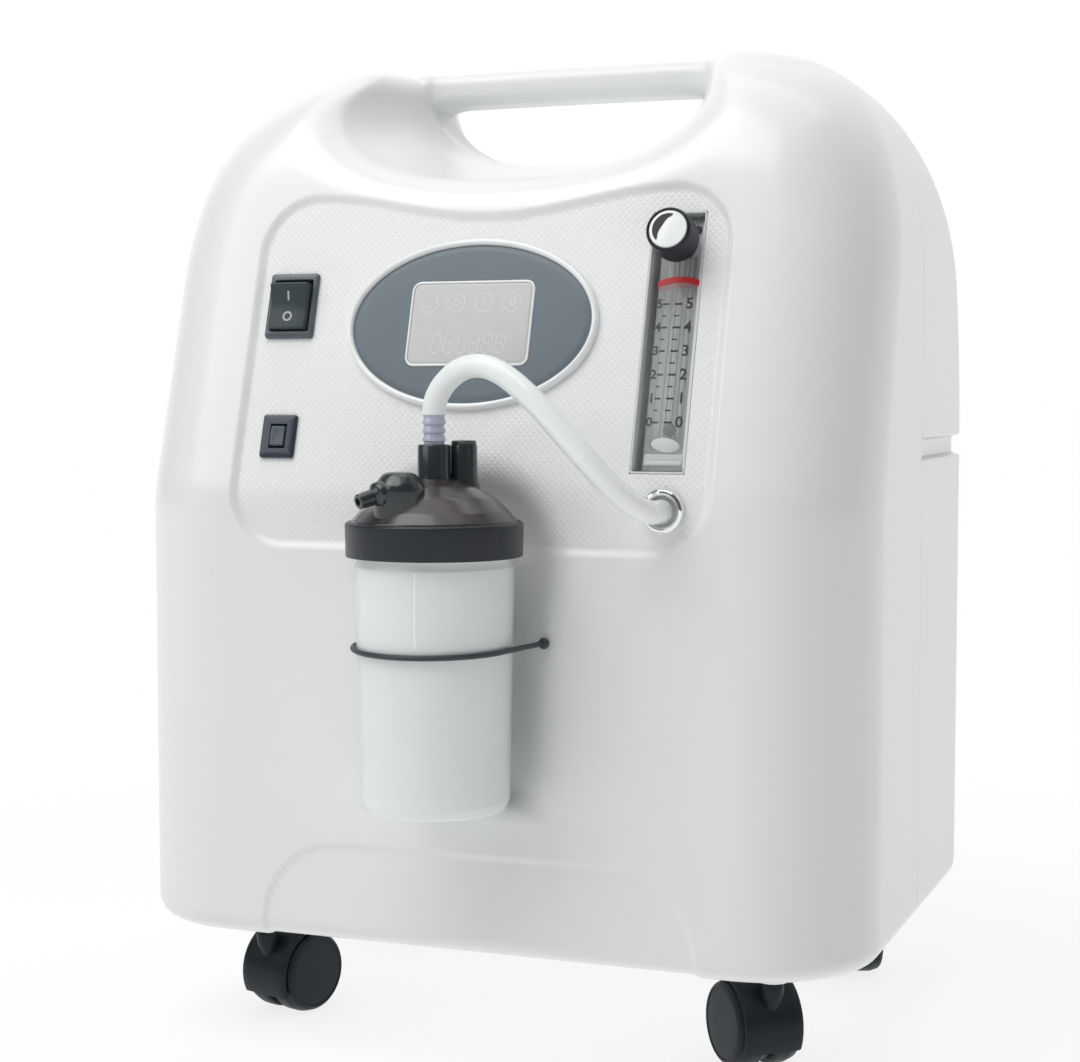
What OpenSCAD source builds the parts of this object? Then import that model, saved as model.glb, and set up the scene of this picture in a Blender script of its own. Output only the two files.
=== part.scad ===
// Home oxygen concentrator on four twin-wheel casters, with its humidifier bottle.
// Millimetres, +Z up. The front faces -Y and the origin is on the floor under the middle of the
// object's box. Sub-parts are drawn with y = 0 on the lower front face, and at_front() places them.

/* [Cabinet] */
// Width of the cabinet
body_w = 353; // [346:1:362]
// Depth of the cabinet, front face to rear face
body_d = 270; // [266:1:274]
// Height of the cabinet's top above the floor
body_top = 464; // [462:1:466]
// Height of the cabinet's underside above the floor
body_bottom = 55; // [54:0.5:56]
// Wall thickness of both shells
wall = 3; // [2.5:0.5:3.5]
// Radius of the two front vertical corners
front_r = 55; // [48:1:60]
// Radius of the two rear vertical corners
rear_r = 40; // [32:1:45]
// Depth at which the front shell meets the rear shell
seam_y = 135; // [133:1:137]

/* [Front panel] */
// Lean of the control panel, degrees from vertical
lean = 16.2; // [15:0.1:17.5]
// Height at which the front starts to lean back
lean_z = 257.5; // [255:0.5:260]
// Depth of the recessed control panel
recess = 2; // [1.5:0.5:2.5]
// Half of the panel's width
panel_half = 115; // [110:1:118]
// Full angle between the rocker's two positions, degrees
rocker_throw = 16; // [10:1:18]
// Travel of the breaker's reset button
breaker_travel = 2; // [1:0.5:3]
// Spacing of the flow meter's scale from 0 to 5 litres a minute
scale_len = 53; // [45:1:55]

/* [Handle] */
// Half of the width of the hand opening
hand_half = 72; // [66:1:74]
// Thickness of the carry handle
handle_h = 16; // [14:0.5:18]
// Depth of the carry handle, front to back
handle_d = 26; // [22:1:30]

/* [Humidifier bottle] */
// Outer radius of the bottle's cap
cap_r = 38; // [37:0.5:38]
// Outer radius of the jar below its neck
jar_r = 34; // [32:0.5:34]
// Wall thickness of the jar
jar_wall = 1.6; // [1.2:0.2:2]
// Height of the bottle's foot above the floor
bottle_z = 127; // [126.5:0.5:130]
// Distance of the bottle's axis in front of the cabinet
bottle_out = 26; // [25:1:26]
// Radius of the niche behind the jar
niche_r = 45; // [44:0.5:46]
// Radius of the niche's rounded top behind the cap
niche_top_r = 50.6; // [49:0.2:52]
// Outer diameter of the oxygen hose
hose_d = 10; // [9:0.5:10]

/* [Casters] */
// Wheel diameter
wheel_d = 40; // [38:1:41]
// Width of one wheel
wheel_w = 13.4; // [12:0.2:14]
// Distance of the axle behind the stem
trail = 18; // [16:1:20]
// Diameter of the swivel stem
stem_d = 8; // [7:0.5:9]
// Distance of the stems from the middle plane
stem_x = 127; // [122:1:130]

/* [Hidden] */

$fn = 64;
gap = 0.5;           // running gap between a moving piece and the panel round it
shaft_gap = 0.05;    // radial clearance of a shaft in its bore
door_out = 2;        // how far the filter door stands proud of the rear face
front_y = -(body_d + door_out - bottle_out - cap_r) / 2; // centres the object's box on y = 0

// Heights and depths that shape the cabinet's outline
brow_z = 397;        // the lean ends here and the front rolls over to the top
ridge_front = 130;   // front edge of the flat top
ridge_rear = 160;    // rear edge of the flat top
shoulder_z = 354;    // the sides start to round over here
shoulder_x = 80;     // half-width that the rounded shoulders take away
back_z = 280;        // the rear face starts to round over here
edge_r = 10;         // rounding of the bottom edge
levels = [0, 3, 10, 95, lean_z - body_bottom, 225, 260, 295, 320, brow_z - body_bottom,
          360, 377, 391, 401, 406, body_top - body_bottom];
corner_steps = 7;    // chords in each rounded corner

// Niche, ledge and strap
niche_floor = 126;
niche_spring = 232;  // middle of the niche's ball
strap_z = 197;
strap_d = 2.4;
stud_x = 40;

// Outlet turret on the bottle's lid: place from the bottle's axis, and radius
turret_at = [-6.2, -22];
turret_r = 10.8;
spout_turn = [104, 0, -33]; // points the spout to the front left and a little down
relief_at = [9.8, 9];     // relief post, from the bottle's axis

// Places of the controls on the panel: distance from the middle and height above the floor
rocker_at = [-94.5, 344.3];
breaker_at = [-93, 284.7];
display_at = [-4.2, 335];
meter_at = [88.6, 326.8];
outlet_at = [93, 255];

// Flow meter, measured along the panel from its middle
meter_h = 113;
meter_w = 19;
meter_side = 1.1;     // how far the meter stands to the right of its tray's middle
meter_knob_v = 44;
meter_zero_v = -35;
meter_sink = 5;       // how far the flow meter's face stands behind the panel
float_d = 6;

// Intake door and mains inlet on the rear face
door_w = 110;
door_h = 72;
door_z = 188;
inlet_at = [-110, 96];
fan_z = 118;
fan_size = 92;

// Height of the flat on the compressor that its two heads stand on
head_z = 170.5;

// Caster stems: x, y and the yaw at which each caster stands
stem_front_y = 57.5;
stem_rear_y = 222.5;
casters = [[-stem_x, stem_front_y, -17], [stem_x, stem_front_y, 42],
           [-stem_x, stem_rear_y, 30], [stem_x, stem_rear_y, 22]];
collar_bottom = 43;
web_half = 2.2;      // half of the hood's web between the wheels

// The hose's route, from the barb on the lid to the barb of the outlet
hose_route = [
    [0, -26, 295.5], [0, -26, 299], [1.8, -27, 303.5], [6, -28.5, 309], [13.5, -30.5, 314.5],
    [22.5, -32.5, 316.5], [31.5, -34.5, 314.5], [40, -36, 309.5], [49, -37, 302],
    [58, -37.5, 293], [67, -37.5, 283.5], [75, -36.5, 274.5], [82, -33.5, 266.5],
    [88, -28, 260], [92, -20, 256], [93, -12, 255], [93, -5, 255]];

// ---------- helpers ----------

module at_front() { translate([0, front_y, 0]) children(); }

// Turns a child's +Z out of the leaning panel and its +Y up the slope
module on_panel(at) {
    panel_y = (at[1] - lean_z) * tan(lean) + recess / cos(lean);
    at_front() translate([at[0], panel_y, at[1]]) rotate([90 - lean, 0, 0]) children();
}

// Turns a child's +Z forwards out of the upright front face
module on_front(at, y) {
    at_front() translate([at[0], y, at[1]]) rotate([90, 0, 0]) children();
}

// Turns a child's +Z backwards out of the rear face
module on_rear(at, y) {
    at_front() translate([at[0], y, at[1]]) rotate([-90, 0, 0]) children();
}

module rounded(w, h, r) { offset(r) square([w - 2 * r, h - 2 * r], center = true); }

module tube(r_out, r_in, h) {
    difference() {
        cylinder(r = r_out, h = h);
        translate([0, 0, -1]) cylinder(r = r_in, h = h + 2);
    }
}

// Side faces and end caps that join equal rings of points into a closed solid
function loft_faces(rings, n) = concat(
    [for (i = [0:rings - 2], j = [0:n - 1])
        [i * n + j, (i + 1) * n + j, (i + 1) * n + (j + 1) % n, i * n + (j + 1) % n]],
    [[for (j = [0:n - 1]) j]],
    [[for (j = [n - 1:-1:0]) (rings - 1) * n + j]]);

function flatten(rows) = [for (row = rows) each row];

// Quarter of a superellipse: how much of the width is left at a share s of the height
function roll(s, n) = pow(max(0, 1 - pow(s, n)), 1 / n);

// ---------- the cabinet's outline, as functions of height ----------

brow_y = (brow_z - lean_z) * tan(lean);
brow_control = brow_y + (body_top - brow_z) * tan(lean);

function brow(t) = t * t * brow_y + 2 * t * (1 - t) * brow_control + (1 - t) * (1 - t) * ridge_front;
function front_at(z) = z < lean_z ? 0
    : z < brow_z ? (z - lean_z) * tan(lean)
    : brow(sqrt((body_top - z) / (body_top - brow_z)));
function rear_at(z) = z < back_z ? body_d
    : ridge_rear + (body_d - ridge_rear) * roll((z - back_z) / (body_top - back_z), 1.85);
function half_at(z) = z < shoulder_z ? body_w / 2
    : body_w / 2 - shoulder_x
      + shoulder_x * roll((z - shoulder_z) / (body_top - shoulder_z), 2.2);
function tuck(dz) = dz >= edge_r ? 0 : edge_r - sqrt(edge_r * edge_r - pow(edge_r - dz, 2));

// One rounded rectangle of the cabinet at height z, drawn inwards by d, and placed at height zp
function cabinet_ring(z, d, zp) =
    let (in = d + tuck(z - body_bottom), f = front_at(z) + in, b = rear_at(z) - in,
         h = half_at(z) - in, limit = (b - f) / 2 - 0.5,
         rf = min(front_r - in, limit), rb = min(rear_r - in, limit),
         corners = [[h - rb, b - rb, rb], [rb - h, b - rb, rb], [rf - h, f + rf, rf],
                    [h - rf, f + rf, rf]])
    [for (q = [0:3], i = [0:corner_steps])
        let (a = 90 * (q + i / corner_steps), c = corners[q])
        [c[0] + c[2] * cos(a), c[1] + c[2] * sin(a), zp]];

// The cabinet's closed outer form, or that form drawn inwards by d
module cabinet(d) {
    squeeze = 1 - 2 * d / (body_top - body_bottom);
    polyhedron(
        flatten([for (dz = levels) cabinet_ring(body_bottom + dz, d, body_bottom + d + dz * squeeze)]),
        loft_faces(len(levels), 4 * (corner_steps + 1)), convexity = 4);
}

// Stations of the hand scoop from front to rear: depth, half-width and floor height
scoop = [[10, 106, 391], [40, 102, 399], [70, 95, 405], [105, 82, 412], [134, hand_half, 416],
         [162, hand_half, 416], [192, 82, 412], [225, 95, 405], [255, 102, 399], [290, 106, 391]];
scoop_steps = 10;

// The open U-shaped channel of the scoop, made larger all round by d
module hand_scoop(d) {
    polyhedron(
        flatten([for (s = scoop)
            concat([[s[1] + d, s[0], body_top + 20]],
                [for (k = [0:scoop_steps])
                    let (a = 180 * k / scoop_steps, depth = body_top - 6 - s[2] + d,
                         c = cos(a), side = c < 0 ? -1 : 1)
                    [side * (s[1] + d) * pow(abs(c), 0.8), s[0],
                     body_top - 6 - depth * pow(sin(a), 0.8)]],
                [[-s[1] - d, s[0], body_top + 20]])]),
        loft_faces(len(scoop), scoop_steps + 3), convexity = 4);
}

// The niche behind the bottle: an upright round pocket that widens to a ball behind the cap
module niche(d) {
    translate([0, -bottle_out, 0]) {
        translate([0, 0, niche_floor - d]) cylinder(r = niche_r + d, h = niche_spring - niche_floor + d);
        translate([0, 0, niche_spring]) sphere(r = niche_top_r + d);
    }
}

// Outline of the control panel, with a wavy top edge that dips in the middle
function panel_top(x) = brow_z - 11 * (1 + cos(180 * min(1, abs(x) / 88))) / 2;
module panel_outline(grow) {
    offset(28 + grow) offset(delta = -28)
        polygon(concat([[-panel_half, 234], [panel_half, 234]],
            [for (i = [0:12]) let (x = panel_half * (1 - i / 6)) [x, panel_top(x)]]));
}

module panel_prism(grow) {
    translate([0, 80, 0]) rotate([90, 0, 0]) linear_extrude(120) panel_outline(grow, $fn = 24);
}

// The shallow arch pressed into the foot of the front
module foot_arch() {
    translate([5, 1.2, 0]) rotate([90, 0, 0]) linear_extrude(10) offset(40, $fn = 32) offset(delta = -40)
        polygon([[-104, 0], [104, 0], [104, 102.5], [-104, 102.5]]);
}

// The finger groove that runs round the sides and the rear
module finger_groove(depth) {
    difference() {
        translate([-body_w, seam_y + 1, 274 - depth + 4]) cube([2 * body_w, 200, 9 + 2 * (depth - 4)]);
        cabinet(depth);
    }
}

module skin() {
    difference() {
        cabinet(0);
        hand_scoop(0);
        niche(0);
        difference() {
            cabinet(wall);
            hand_scoop(wall);
            niche(wall);
            difference() {
                panel_prism(wall);
                cabinet(wall + recess);
            }
            finger_groove(4 + wall);
        }
    }
}

// ---------- shells, chassis and handle ----------

// The shells' curved skins have many small faces and no bores, so each is drawn as one mesh
module front_shell() {
    color([0.90, 0.91, 0.91]) resize([0, 0, 0]) at_front() difference() {
        intersection() {
            skin();
            translate([-body_w, -50, 0]) cube([2 * body_w, 50 + seam_y, 600]);
        }
        difference() {
            panel_prism(0);
            cabinet(recess);
        }
        foot_arch();
        translate([0, -front_y, 0]) {
            on_panel(rocker_at) cube([22.4, 28.4, 60], center = true);
            on_panel(breaker_at) cube([16.4, 18.4, 60], center = true);
            on_panel(display_at) cube([53, 35, 60], center = true);
            on_panel(meter_at) cube([24.8, 117.6, 60], center = true);
            on_front(outlet_at, 0) cylinder(r = 6.5, h = 60, center = true);
            for (s = [-1, 1]) on_front([s * stud_x, strap_z], 0) cylinder(r = 2, h = 60, center = true);
        }
        floor_holes([[-stem_x, stem_front_y], [stem_x, stem_front_y]], stem_d / 2 + 1);
        floor_holes(screw_places(0), 2.2);
    }
}

module rear_shell() {
    tang = handle_tang();
    color([0.88, 0.89, 0.89]) resize([0, 0, 0]) at_front() difference() {
        intersection() {
            skin();
            translate([-body_w, seam_y, 0]) cube([2 * body_w, 200, 600]);
        }
        finger_groove(4);
        translate([-tang[0], tang[1], tang[2]]) cube([2 * tang[0], handle_d, tang[3]]);
        translate([-door_w / 2 - gap, body_d - 20, door_z - 2.5])
            cube([door_w + 2 * gap, 40, door_h + 3]);
        door_pin(1.1, 3);
        translate([inlet_at[0], body_d, inlet_at[1]]) cube([30, 40, 24], true);
        for (i = [0:7])
            translate([0, body_d, fan_z - 35 + i * 10]) cube([84 - 1.6 * pow(i - 3.5, 2), 40, 3.5], true);
        floor_holes([[-stem_x, stem_rear_y], [stem_x, stem_rear_y]], stem_d / 2 + 1);
        floor_holes(screw_places(1), 2.2);
    }
}

// Four screws under each shell
function screw_places(half) = [for (x = [-95, -35, 35, 95]) [x, half == 0 ? 40 : 230]];

module floor_holes(places, r) {
    for (p = places) translate([p[0], p[1], body_bottom - 10]) cylinder(r = r, h = 30, $fn = 24);
}

// Half-length, front, underside and height of the handle's ends, which plug into the rear shell
function handle_tang() = [hand_half + 12, (ridge_front + ridge_rear - handle_d) / 2 + 3,
                          body_top - handle_h, handle_h - wall - 0.5];

module carry_handle() {
    tang = handle_tang();
    color([0.80, 0.81, 0.83]) at_front() union() {
        translate([-tang[0], tang[1], tang[2]]) cube([2 * tang[0], handle_d, tang[3]]);
        translate([-hand_half + 1, tang[1] + handle_d / 2, body_top - handle_h / 2])
            rotate([90, 0, 90]) linear_extrude(2 * hand_half - 2) rounded(handle_d, handle_h, 6);
    }
}

// Steel plate inside the cabinet's floor; the casters and the compressor stand on it
module chassis_plate() {
    color([0.62, 0.64, 0.66]) at_front() difference() {
        translate([0, body_d / 2, body_bottom + wall]) linear_extrude(2) rounded(310, 226, 30);
        for (c = casters) translate([c[0], c[1], 0]) cylinder(r = stem_d / 2 + 0.6, h = 90);
        for (p = concat(screw_places(0), screw_places(1)))
            translate([p[0], p[1], 0]) cylinder(r = 1.7, h = 90);
    }
}

module shell_screws() {
    color([0.70, 0.71, 0.72]) at_front()
        for (p = concat(screw_places(0), screw_places(1))) translate([p[0], p[1], body_bottom - 2]) {
            difference() {
                cylinder(r = 3.6, h = 2);
                translate([0, 0, -1]) cylinder(r = 1.6, h = 2.2, $fn = 6);
            }
            cylinder(r = 1.7, h = 12);
        }
}

// ---------- controls on the panel ----------

function oval(a, b) = [for (i = [0:59]) [a * cos(6 * i), b * sin(6 * i)]];

module display_bezel() {
    color([0.95, 0.96, 0.96]) on_panel(display_at) difference() {
        linear_extrude(3) polygon(oval(60.3, 39.8));
        translate([0, 0, -1]) linear_extrude(6) polygon(oval(57.3, 36.8));
    }
}

module display_panel() {
    color([0.44, 0.49, 0.52]) on_panel(display_at) difference() {
        linear_extrude(1.8) polygon(oval(57.2, 36.7));
        translate([0, 0, -1]) linear_extrude(6) rounded(59.6, 39.8, 4);
    }
}

module lcd_module() {
    color([0.75, 0.75, 0.76]) on_panel(display_at) union() {
        linear_extrude(2.2) rounded(59.4, 39.6, 4);
        translate([-26, -17, -10]) cube([52, 34, 10.5]);
    }
}

module switch_housing() {
    color([0.24, 0.29, 0.32]) on_panel(rocker_at) difference() {
        union() {
            linear_extrude(2) rounded(24.4, 31, 1.5);
            translate([-11, -14, -24]) cube([22, 28, 24.5]);
        }
        translate([-9.7, -12, -9]) cube([19.4, 24, 12]);
        translate([0, 0, -3]) rotate([0, 90, 0]) cylinder(r = 1 + shaft_gap, h = 21.2, center = true);
    }
}

// The rocker pivots on two pins that run in the housing's side walls
module power_rocker() {
    half = rocker_throw / 2;
    top = 2.6;
    color([0.27, 0.32, 0.35]) on_panel(rocker_at) translate([0, 0, -3]) union() {
        rotate([half, 0, 0]) rotate([90, 0, 90]) translate([0, 0, -9.3]) linear_extrude(18.6)
            polygon([[-11, 4.2], [-10.6, 7 + top], [0, 4.4 + top], [10.6, 7 + top], [11, 4.2],
                     [8, -1], [2, -2], [-2, -2], [-8, -1]]);
        rotate([0, 90, 0]) cylinder(r = 1, h = 20.8, center = true);
    }
}

module breaker_body() {
    color([0.16, 0.19, 0.26]) on_panel(breaker_at) difference() {
        union() {
            linear_extrude(1.8) rounded(17, 20.2, 1.2);
            translate([-8, -9, -22]) cube([16, 18, 22.5]);
        }
        translate([-4.1, -5.1, -8]) cube([8.2, 10.2, 12]);
    }
}

module breaker_button() {
    color([0.30, 0.34, 0.42]) on_panel(breaker_at) translate([0, 0, -breaker_travel - 2])
        linear_extrude(breaker_travel + 4.4) rounded(7.4, 9.4, 1);
}

// Sunken tray that holds the flow meter
module flowmeter_tray() {
    color([0.20, 0.21, 0.22]) on_panel(meter_at) difference() {
        translate([-12.3, -58.7, -11 - meter_sink]) cube([24.6, 117.4, 11 + meter_sink]);
        translate([-11.3, -57.7, -9 - meter_sink]) cube([22.6, 115.4, 20]);
        for (v = [-45, 45]) translate([meter_side, v, -30]) cylinder(r = 4, h = 30);
    }
}

// Clear acrylic block with the float's bore, the needle valve's bore and two ports behind
module flowmeter_block() {
    color([0.80, 0.84, 0.86, 0.5]) on_panel(meter_at) translate([meter_side, 0, -meter_sink]) difference() {
        union() {
            translate([-meter_w / 2, -meter_h / 2, -9]) cube([meter_w, meter_h, 10]);
            for (v = [-45, 45]) translate([0, v, -24]) cylinder(r = 4, h = 16);
        }
        translate([0, -43, -4]) rotate([-90, 0, 0]) cylinder(r = float_d / 2 + 0.3, h = scale_len + 20);
        translate([0, meter_knob_v, -6]) cylinder(r = 2 + shaft_gap, h = 20);
    }
}

module flowmeter_knob() {
    color([0.12, 0.12, 0.13]) on_panel(meter_at) translate([meter_side, meter_knob_v, 0]) {
        translate([0, 0, -5.5 - meter_sink]) cylinder(r = 2, h = 8 + meter_sink);
        translate([0, 0, 1.5 - meter_sink]) cylinder(r = 6.5, h = 3 + meter_sink);
        difference() {
            translate([0, 0, 4]) cylinder(r = 10, h = 15);
            translate([0, 0, 18]) cylinder(r = 8.6, h = 3);
            for (i = [0:23]) rotate(15 * i) translate([10.3, 0, 5]) cylinder(r = 0.7, h = 20, $fn = 16);
        }
        translate([0, 0, 17]) cylinder(r = 8.6, h = 1.6);
    }
}

module flowmeter_float() {
    color([0.10, 0.10, 0.11]) on_panel(meter_at) translate([meter_side, meter_zero_v - 2, -4 - meter_sink])
        sphere(r = float_d / 2);
}

// Chrome bush of the oxygen outlet
module outlet_port() {
    color([0.80, 0.81, 0.82]) on_front(outlet_at, recess) union() {
        tube(9.3, 6.4, 4);
        translate([0, 0, -14]) tube(6.4, 4, 14.5);
    }
}

module outlet_barb() {
    color([0.93, 0.93, 0.90]) on_front(outlet_at, recess) difference() {
        rotate_extrude() polygon([[0, -20], [3.99, -20], [3.99, 2], [5, 2], [5, 7], [0, 7]]);
        translate([0, 0, -21]) cylinder(r = 1.8, h = 40);
    }
}

// ---------- humidifier bottle ----------

module at_bottle(z) { at_front() translate([0, -bottle_out, z]) children(); }

module bottle_jar() {
    h = 240.5 - bottle_z;
    foot = jar_r - 2;
    color([0.86, 0.90, 0.91, 0.6]) at_bottle(bottle_z) rotate_extrude($fn = 96) difference() {
        union() {
            translate([0, 6]) polygon([[0, 0], [foot, 0], [jar_r, h - 18], [jar_r, h - 8], [jar_r - 1, h - 6],
                                       [0, h - 6]]);
            square([foot - 6, 8]);
            translate([foot - 6, 6]) circle(r = 6);
            translate([0, h - 4]) square([jar_r + 1, 2]);
        }
        translate([0, 6]) polygon([[0, 0], [foot - jar_wall, 0], [jar_r - jar_wall, h - 18],
                                   [jar_r - jar_wall, h + 4], [0, h + 4]]);
        translate([0, 2]) square([foot - 7, 8]);
        translate([foot - 7, 7]) circle(r = 5);
        translate([-20, -2]) square([20, 200]);
    }
}

// Cap with its skirt, dome, inlet post, and the seats of the relief valve and the outlet turret
module bottle_lid() {
    color([0.10, 0.10, 0.12]) at_bottle(235.5) difference() {
        union() {
            rotate_extrude($fn = 96) difference() {
                polygon([[cap_r - 2.6, 0], [cap_r, 0], [cap_r, 14], [cap_r - 1, 15], [33, 18], [26, 24.3],
                         [17, 29.8], [8, 33], [0, 33.5], [0, 27.5], [8, 27], [17, 23.5], [26, 17.5],
                         [30, 12], [jar_r - 4, 9], [cap_r - 2.6, 9]]);
                translate([-1, 0]) square([1, 60]);
            }
            translate([0, 0, 27]) cylinder(r = 7, h = 20.5);
            translate([relief_at[0], relief_at[1], 24]) cylinder(r = 5.8, h = 23.5);
            translate([turret_at[0], turret_at[1], 9.5]) cylinder(r = turret_r + 1, h = 7.5);
        }
        translate([0, 0, 20]) cylinder(r = 3, h = 40);
        translate([relief_at[0], relief_at[1], 42]) cylinder(r = 4.2, h = 10);
        translate([relief_at[0], relief_at[1], 20]) cylinder(r = 2, h = 30);
        translate([turret_at[0], turret_at[1], 17]) cylinder(r = turret_r + 0.2, h = 16);
        translate([turret_at[0], turret_at[1], 9]) cylinder(r = 3, h = 20);
    }
}

module lid_gasket() {
    color([0.30, 0.30, 0.31]) at_bottle(240.6) tube(jar_r + 1.2, jar_r - 3.4, 3.9);
}

// Clear barbed connector; the hose starts on its upper face
module lid_barb() {
    color([0.85, 0.88, 0.90, 0.6]) at_bottle(262) difference() {
        union() {
            cylinder(r = 3, h = 33.5);
            translate([0, 0, 21]) cylinder(r = 4.2, h = 12);
            for (z = [22, 26, 30.5]) translate([0, 0, z]) cylinder(r = 5, h = 3);
        }
        translate([0, 0, -1]) cylinder(r = 1.5, h = 40);
    }
}

module relief_valve() {
    color([0.16, 0.17, 0.19]) at_bottle(277.5) translate([relief_at[0], relief_at[1], 0]) union() {
        cylinder(r = 4.1, h = 5.5);
        translate([0, 0, 5.5]) cylinder(r = 5.4, h = 1.5);
    }
}

// Round outlet turret on the dome with a spout for the cannula that points to the front left
module outlet_nozzle() {
    color([0.08, 0.08, 0.09]) at_bottle(252.5) translate([turret_at[0], turret_at[1], 0]) difference() {
        union() {
            cylinder(r = turret_r, h = 15);
            translate([0, 0, 15]) cylinder(r1 = turret_r, r2 = 7, h = 4.5);
            translate([0, 0, 12.5]) rotate(spout_turn) {
                cylinder(r = 4.4, h = 12);
                translate([0, 0, 12]) cylinder(r1 = 4.4, r2 = 3.2, h = 1.2);
                cylinder(r = 3.2, h = 20);
                translate([0, 0, 20]) cylinder(r1 = 3.2, r2 = 2.7, h = 0.6);
            }
        }
        translate([0, 0, 12.5]) rotate(spout_turn) cylinder(r = 1.6, h = 30);
        translate([0, 0, -1]) cylinder(r = 3, h = 13);
    }
}

module dip_tube() {
    color([0.88, 0.90, 0.90]) at_bottle(143) tube(3, 1.8, 119);
}

module diffuser() {
    color([0.80, 0.86, 0.86]) at_bottle(136) union() {
        cylinder(r1 = 6, r2 = 7, h = 4);
        translate([0, 0, 4]) cylinder(r = 7, h = 3);
        translate([0, 0, 7]) cylinder(r = 1.75, h = 6);
    }
}

// Elastic strap: an arc round the jar's front and two straight runs to the studs
strap_r = jar_r + strap_d / 2 - 0.4;
strap_reach = sqrt(stud_x * stud_x + bottle_out * bottle_out);
strap_turn = atan2(bottle_out, stud_x) - acos(strap_r / strap_reach);

module bottle_strap() {
    run = sqrt(strap_reach * strap_reach - strap_r * strap_r);
    color([0.08, 0.09, 0.10]) at_bottle(strap_z) union() {
        rotate(180 - strap_turn) rotate_extrude(angle = 180 + 2 * strap_turn)
            translate([strap_r, 0]) circle(r = strap_d / 2, $fn = 24);
        for (s = [0, 1]) mirror([s, 0, 0]) rotate(strap_turn) translate([strap_r, 0, 0])
            rotate([-90, 0, 0]) cylinder(r = strap_d / 2, h = run - 2.4, $fn = 24);
    }
}

module strap_studs() {
    color([0.12, 0.13, 0.14])
        for (s = [-1, 1]) on_front([s * stud_x, strap_z], 0) union() {
            translate([0, 0, -7]) cylinder(r = 1.9, h = 8);
            intersection() {
                sphere(r = 2.3);
                cylinder(r = 3, h = 3);
            }
        }
}

// The hose as one swept tube
hose_sides = 12;
function unit(v) = v / norm(v);
function hose_dir(i) = unit(hose_route[min(i + 1, len(hose_route) - 1)] - hose_route[max(i - 1, 0)]);
function hose_ring(i) =
    let (d = hose_dir(i), u = unit(cross(d, [0.36, -0.93, 0.1])), v = cross(d, u))
    [for (k = [0:hose_sides - 1])
        hose_route[i] + hose_d / 2 * (cos(360 * k / hose_sides) * u + sin(360 * k / hose_sides) * v)];

module oxygen_hose() {
    color([0.90, 0.92, 0.92, 0.7]) at_front() polyhedron(
        flatten([for (i = [0:len(hose_route) - 1]) hose_ring(i)]),
        loft_faces(len(hose_route), hose_sides), convexity = 4);
}

// ---------- rear face ----------

// The hinge line of the intake door, in the middle of the rear wall
module door_pin(r, over) {
    translate([-door_w / 2 - over, body_d - wall / 2, door_z + 2]) rotate([0, 90, 0])
        cylinder(r = r, h = door_w + 2 * over);
}

// Louvred intake cover; it tips open on a pin along its lower edge
module filter_door() {
    color([0.84, 0.85, 0.86]) at_front() difference() {
        union() {
            translate([-door_w / 2, body_d - 1, door_z + 4]) cube([door_w, 1 + door_out, door_h - 4]);
            translate([-door_w / 2, body_d - 1, door_z + 2]) cube([door_w, 1 + door_out, 3]);
            door_pin(2, 0);
            door_pin(1, 2.5);
        }
        for (i = [0:8])
            translate([0, body_d, door_z + 14 + i * 6]) cube([door_w - 24, 20, 2.5], true);
    }
}

module intake_filter() {
    color([0.22, 0.23, 0.25]) at_front() translate([0, body_d - 14, door_z + door_h / 2])
        rotate([90, 0, 0]) linear_extrude(10) rounded(door_w - 8, door_h - 8, 4);
}

module power_inlet() {
    color([0.07, 0.07, 0.08]) on_rear(inlet_at, body_d) difference() {
        union() {
            linear_extrude(2) rounded(34, 28, 4);
            translate([-14.8, -11.8, -20]) cube([29.6, 23.6, 20.5]);
        }
        translate([-12.5, -8.5, -17]) cube([25, 17, 20]);
    }
}

module inlet_pins() {
    color([0.78, 0.78, 0.76]) on_rear(inlet_at, body_d)
        for (p = [[-7, 2], [0, -2], [7, 2]]) translate([p[0] - 1, p[1] - 2, -17]) cube([2, 4, 11]);
}

// ---------- inside the cabinet ----------

module compressor_body() {
    color([0.55, 0.57, 0.60]) at_front() difference() {
        translate([0, 140, 128]) rotate([0, 90, 0]) union() {
            translate([0, 0, -52]) cylinder(r = 44, h = 104);
            translate([0, 0, -62]) cylinder(r = 30, h = 124);
            for (s = [-1, 1]) translate([30, 0, 50 * s]) cube([20, 88, 12], center = true);
        }
        translate([-60, 100, head_z]) cube([120, 80, 20]);
    }
}

module compressor_heads() {
    color([0.68, 0.70, 0.72]) at_front()
        for (s = [-1, 1]) translate([s * 28, 140, head_z]) union() {
            cylinder(r = 19, h = 24);
            for (i = [0:4]) translate([0, 0, 4 + 4 * i]) cylinder(r = 23, h = 1.8);
            translate([-20, -20, 24]) cube([40, 40, 8]);
        }
}

// Rubber mounts between the compressor and the chassis plate
module compressor_mounts() {
    color([0.12, 0.12, 0.13]) at_front()
        for (x = [-50, 50], y = [-32, 32]) translate([x, 140 + y, body_bottom + wall + 2])
            cylinder(r = 9, h = 28);
}

module fan_frame() {
    color([0.15, 0.15, 0.16]) on_rear([0, fan_z], body_d - wall - 26) difference() {
        translate([-fan_size / 2, -fan_size / 2, 0]) cube([fan_size, fan_size, 25]);
        difference() {
            translate([0, 0, -1]) cylinder(r = 43, h = 30);
            translate([0, 0, 0]) cylinder(r = 16, h = 3);
            for (a = [0:3]) rotate(90 * a + 45) translate([0, -1.5, 0]) cube([45, 3, 3]);
        }
        translate([0, 0, -1]) cylinder(r = 2 + shaft_gap, h = 10);
    }
}

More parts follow.
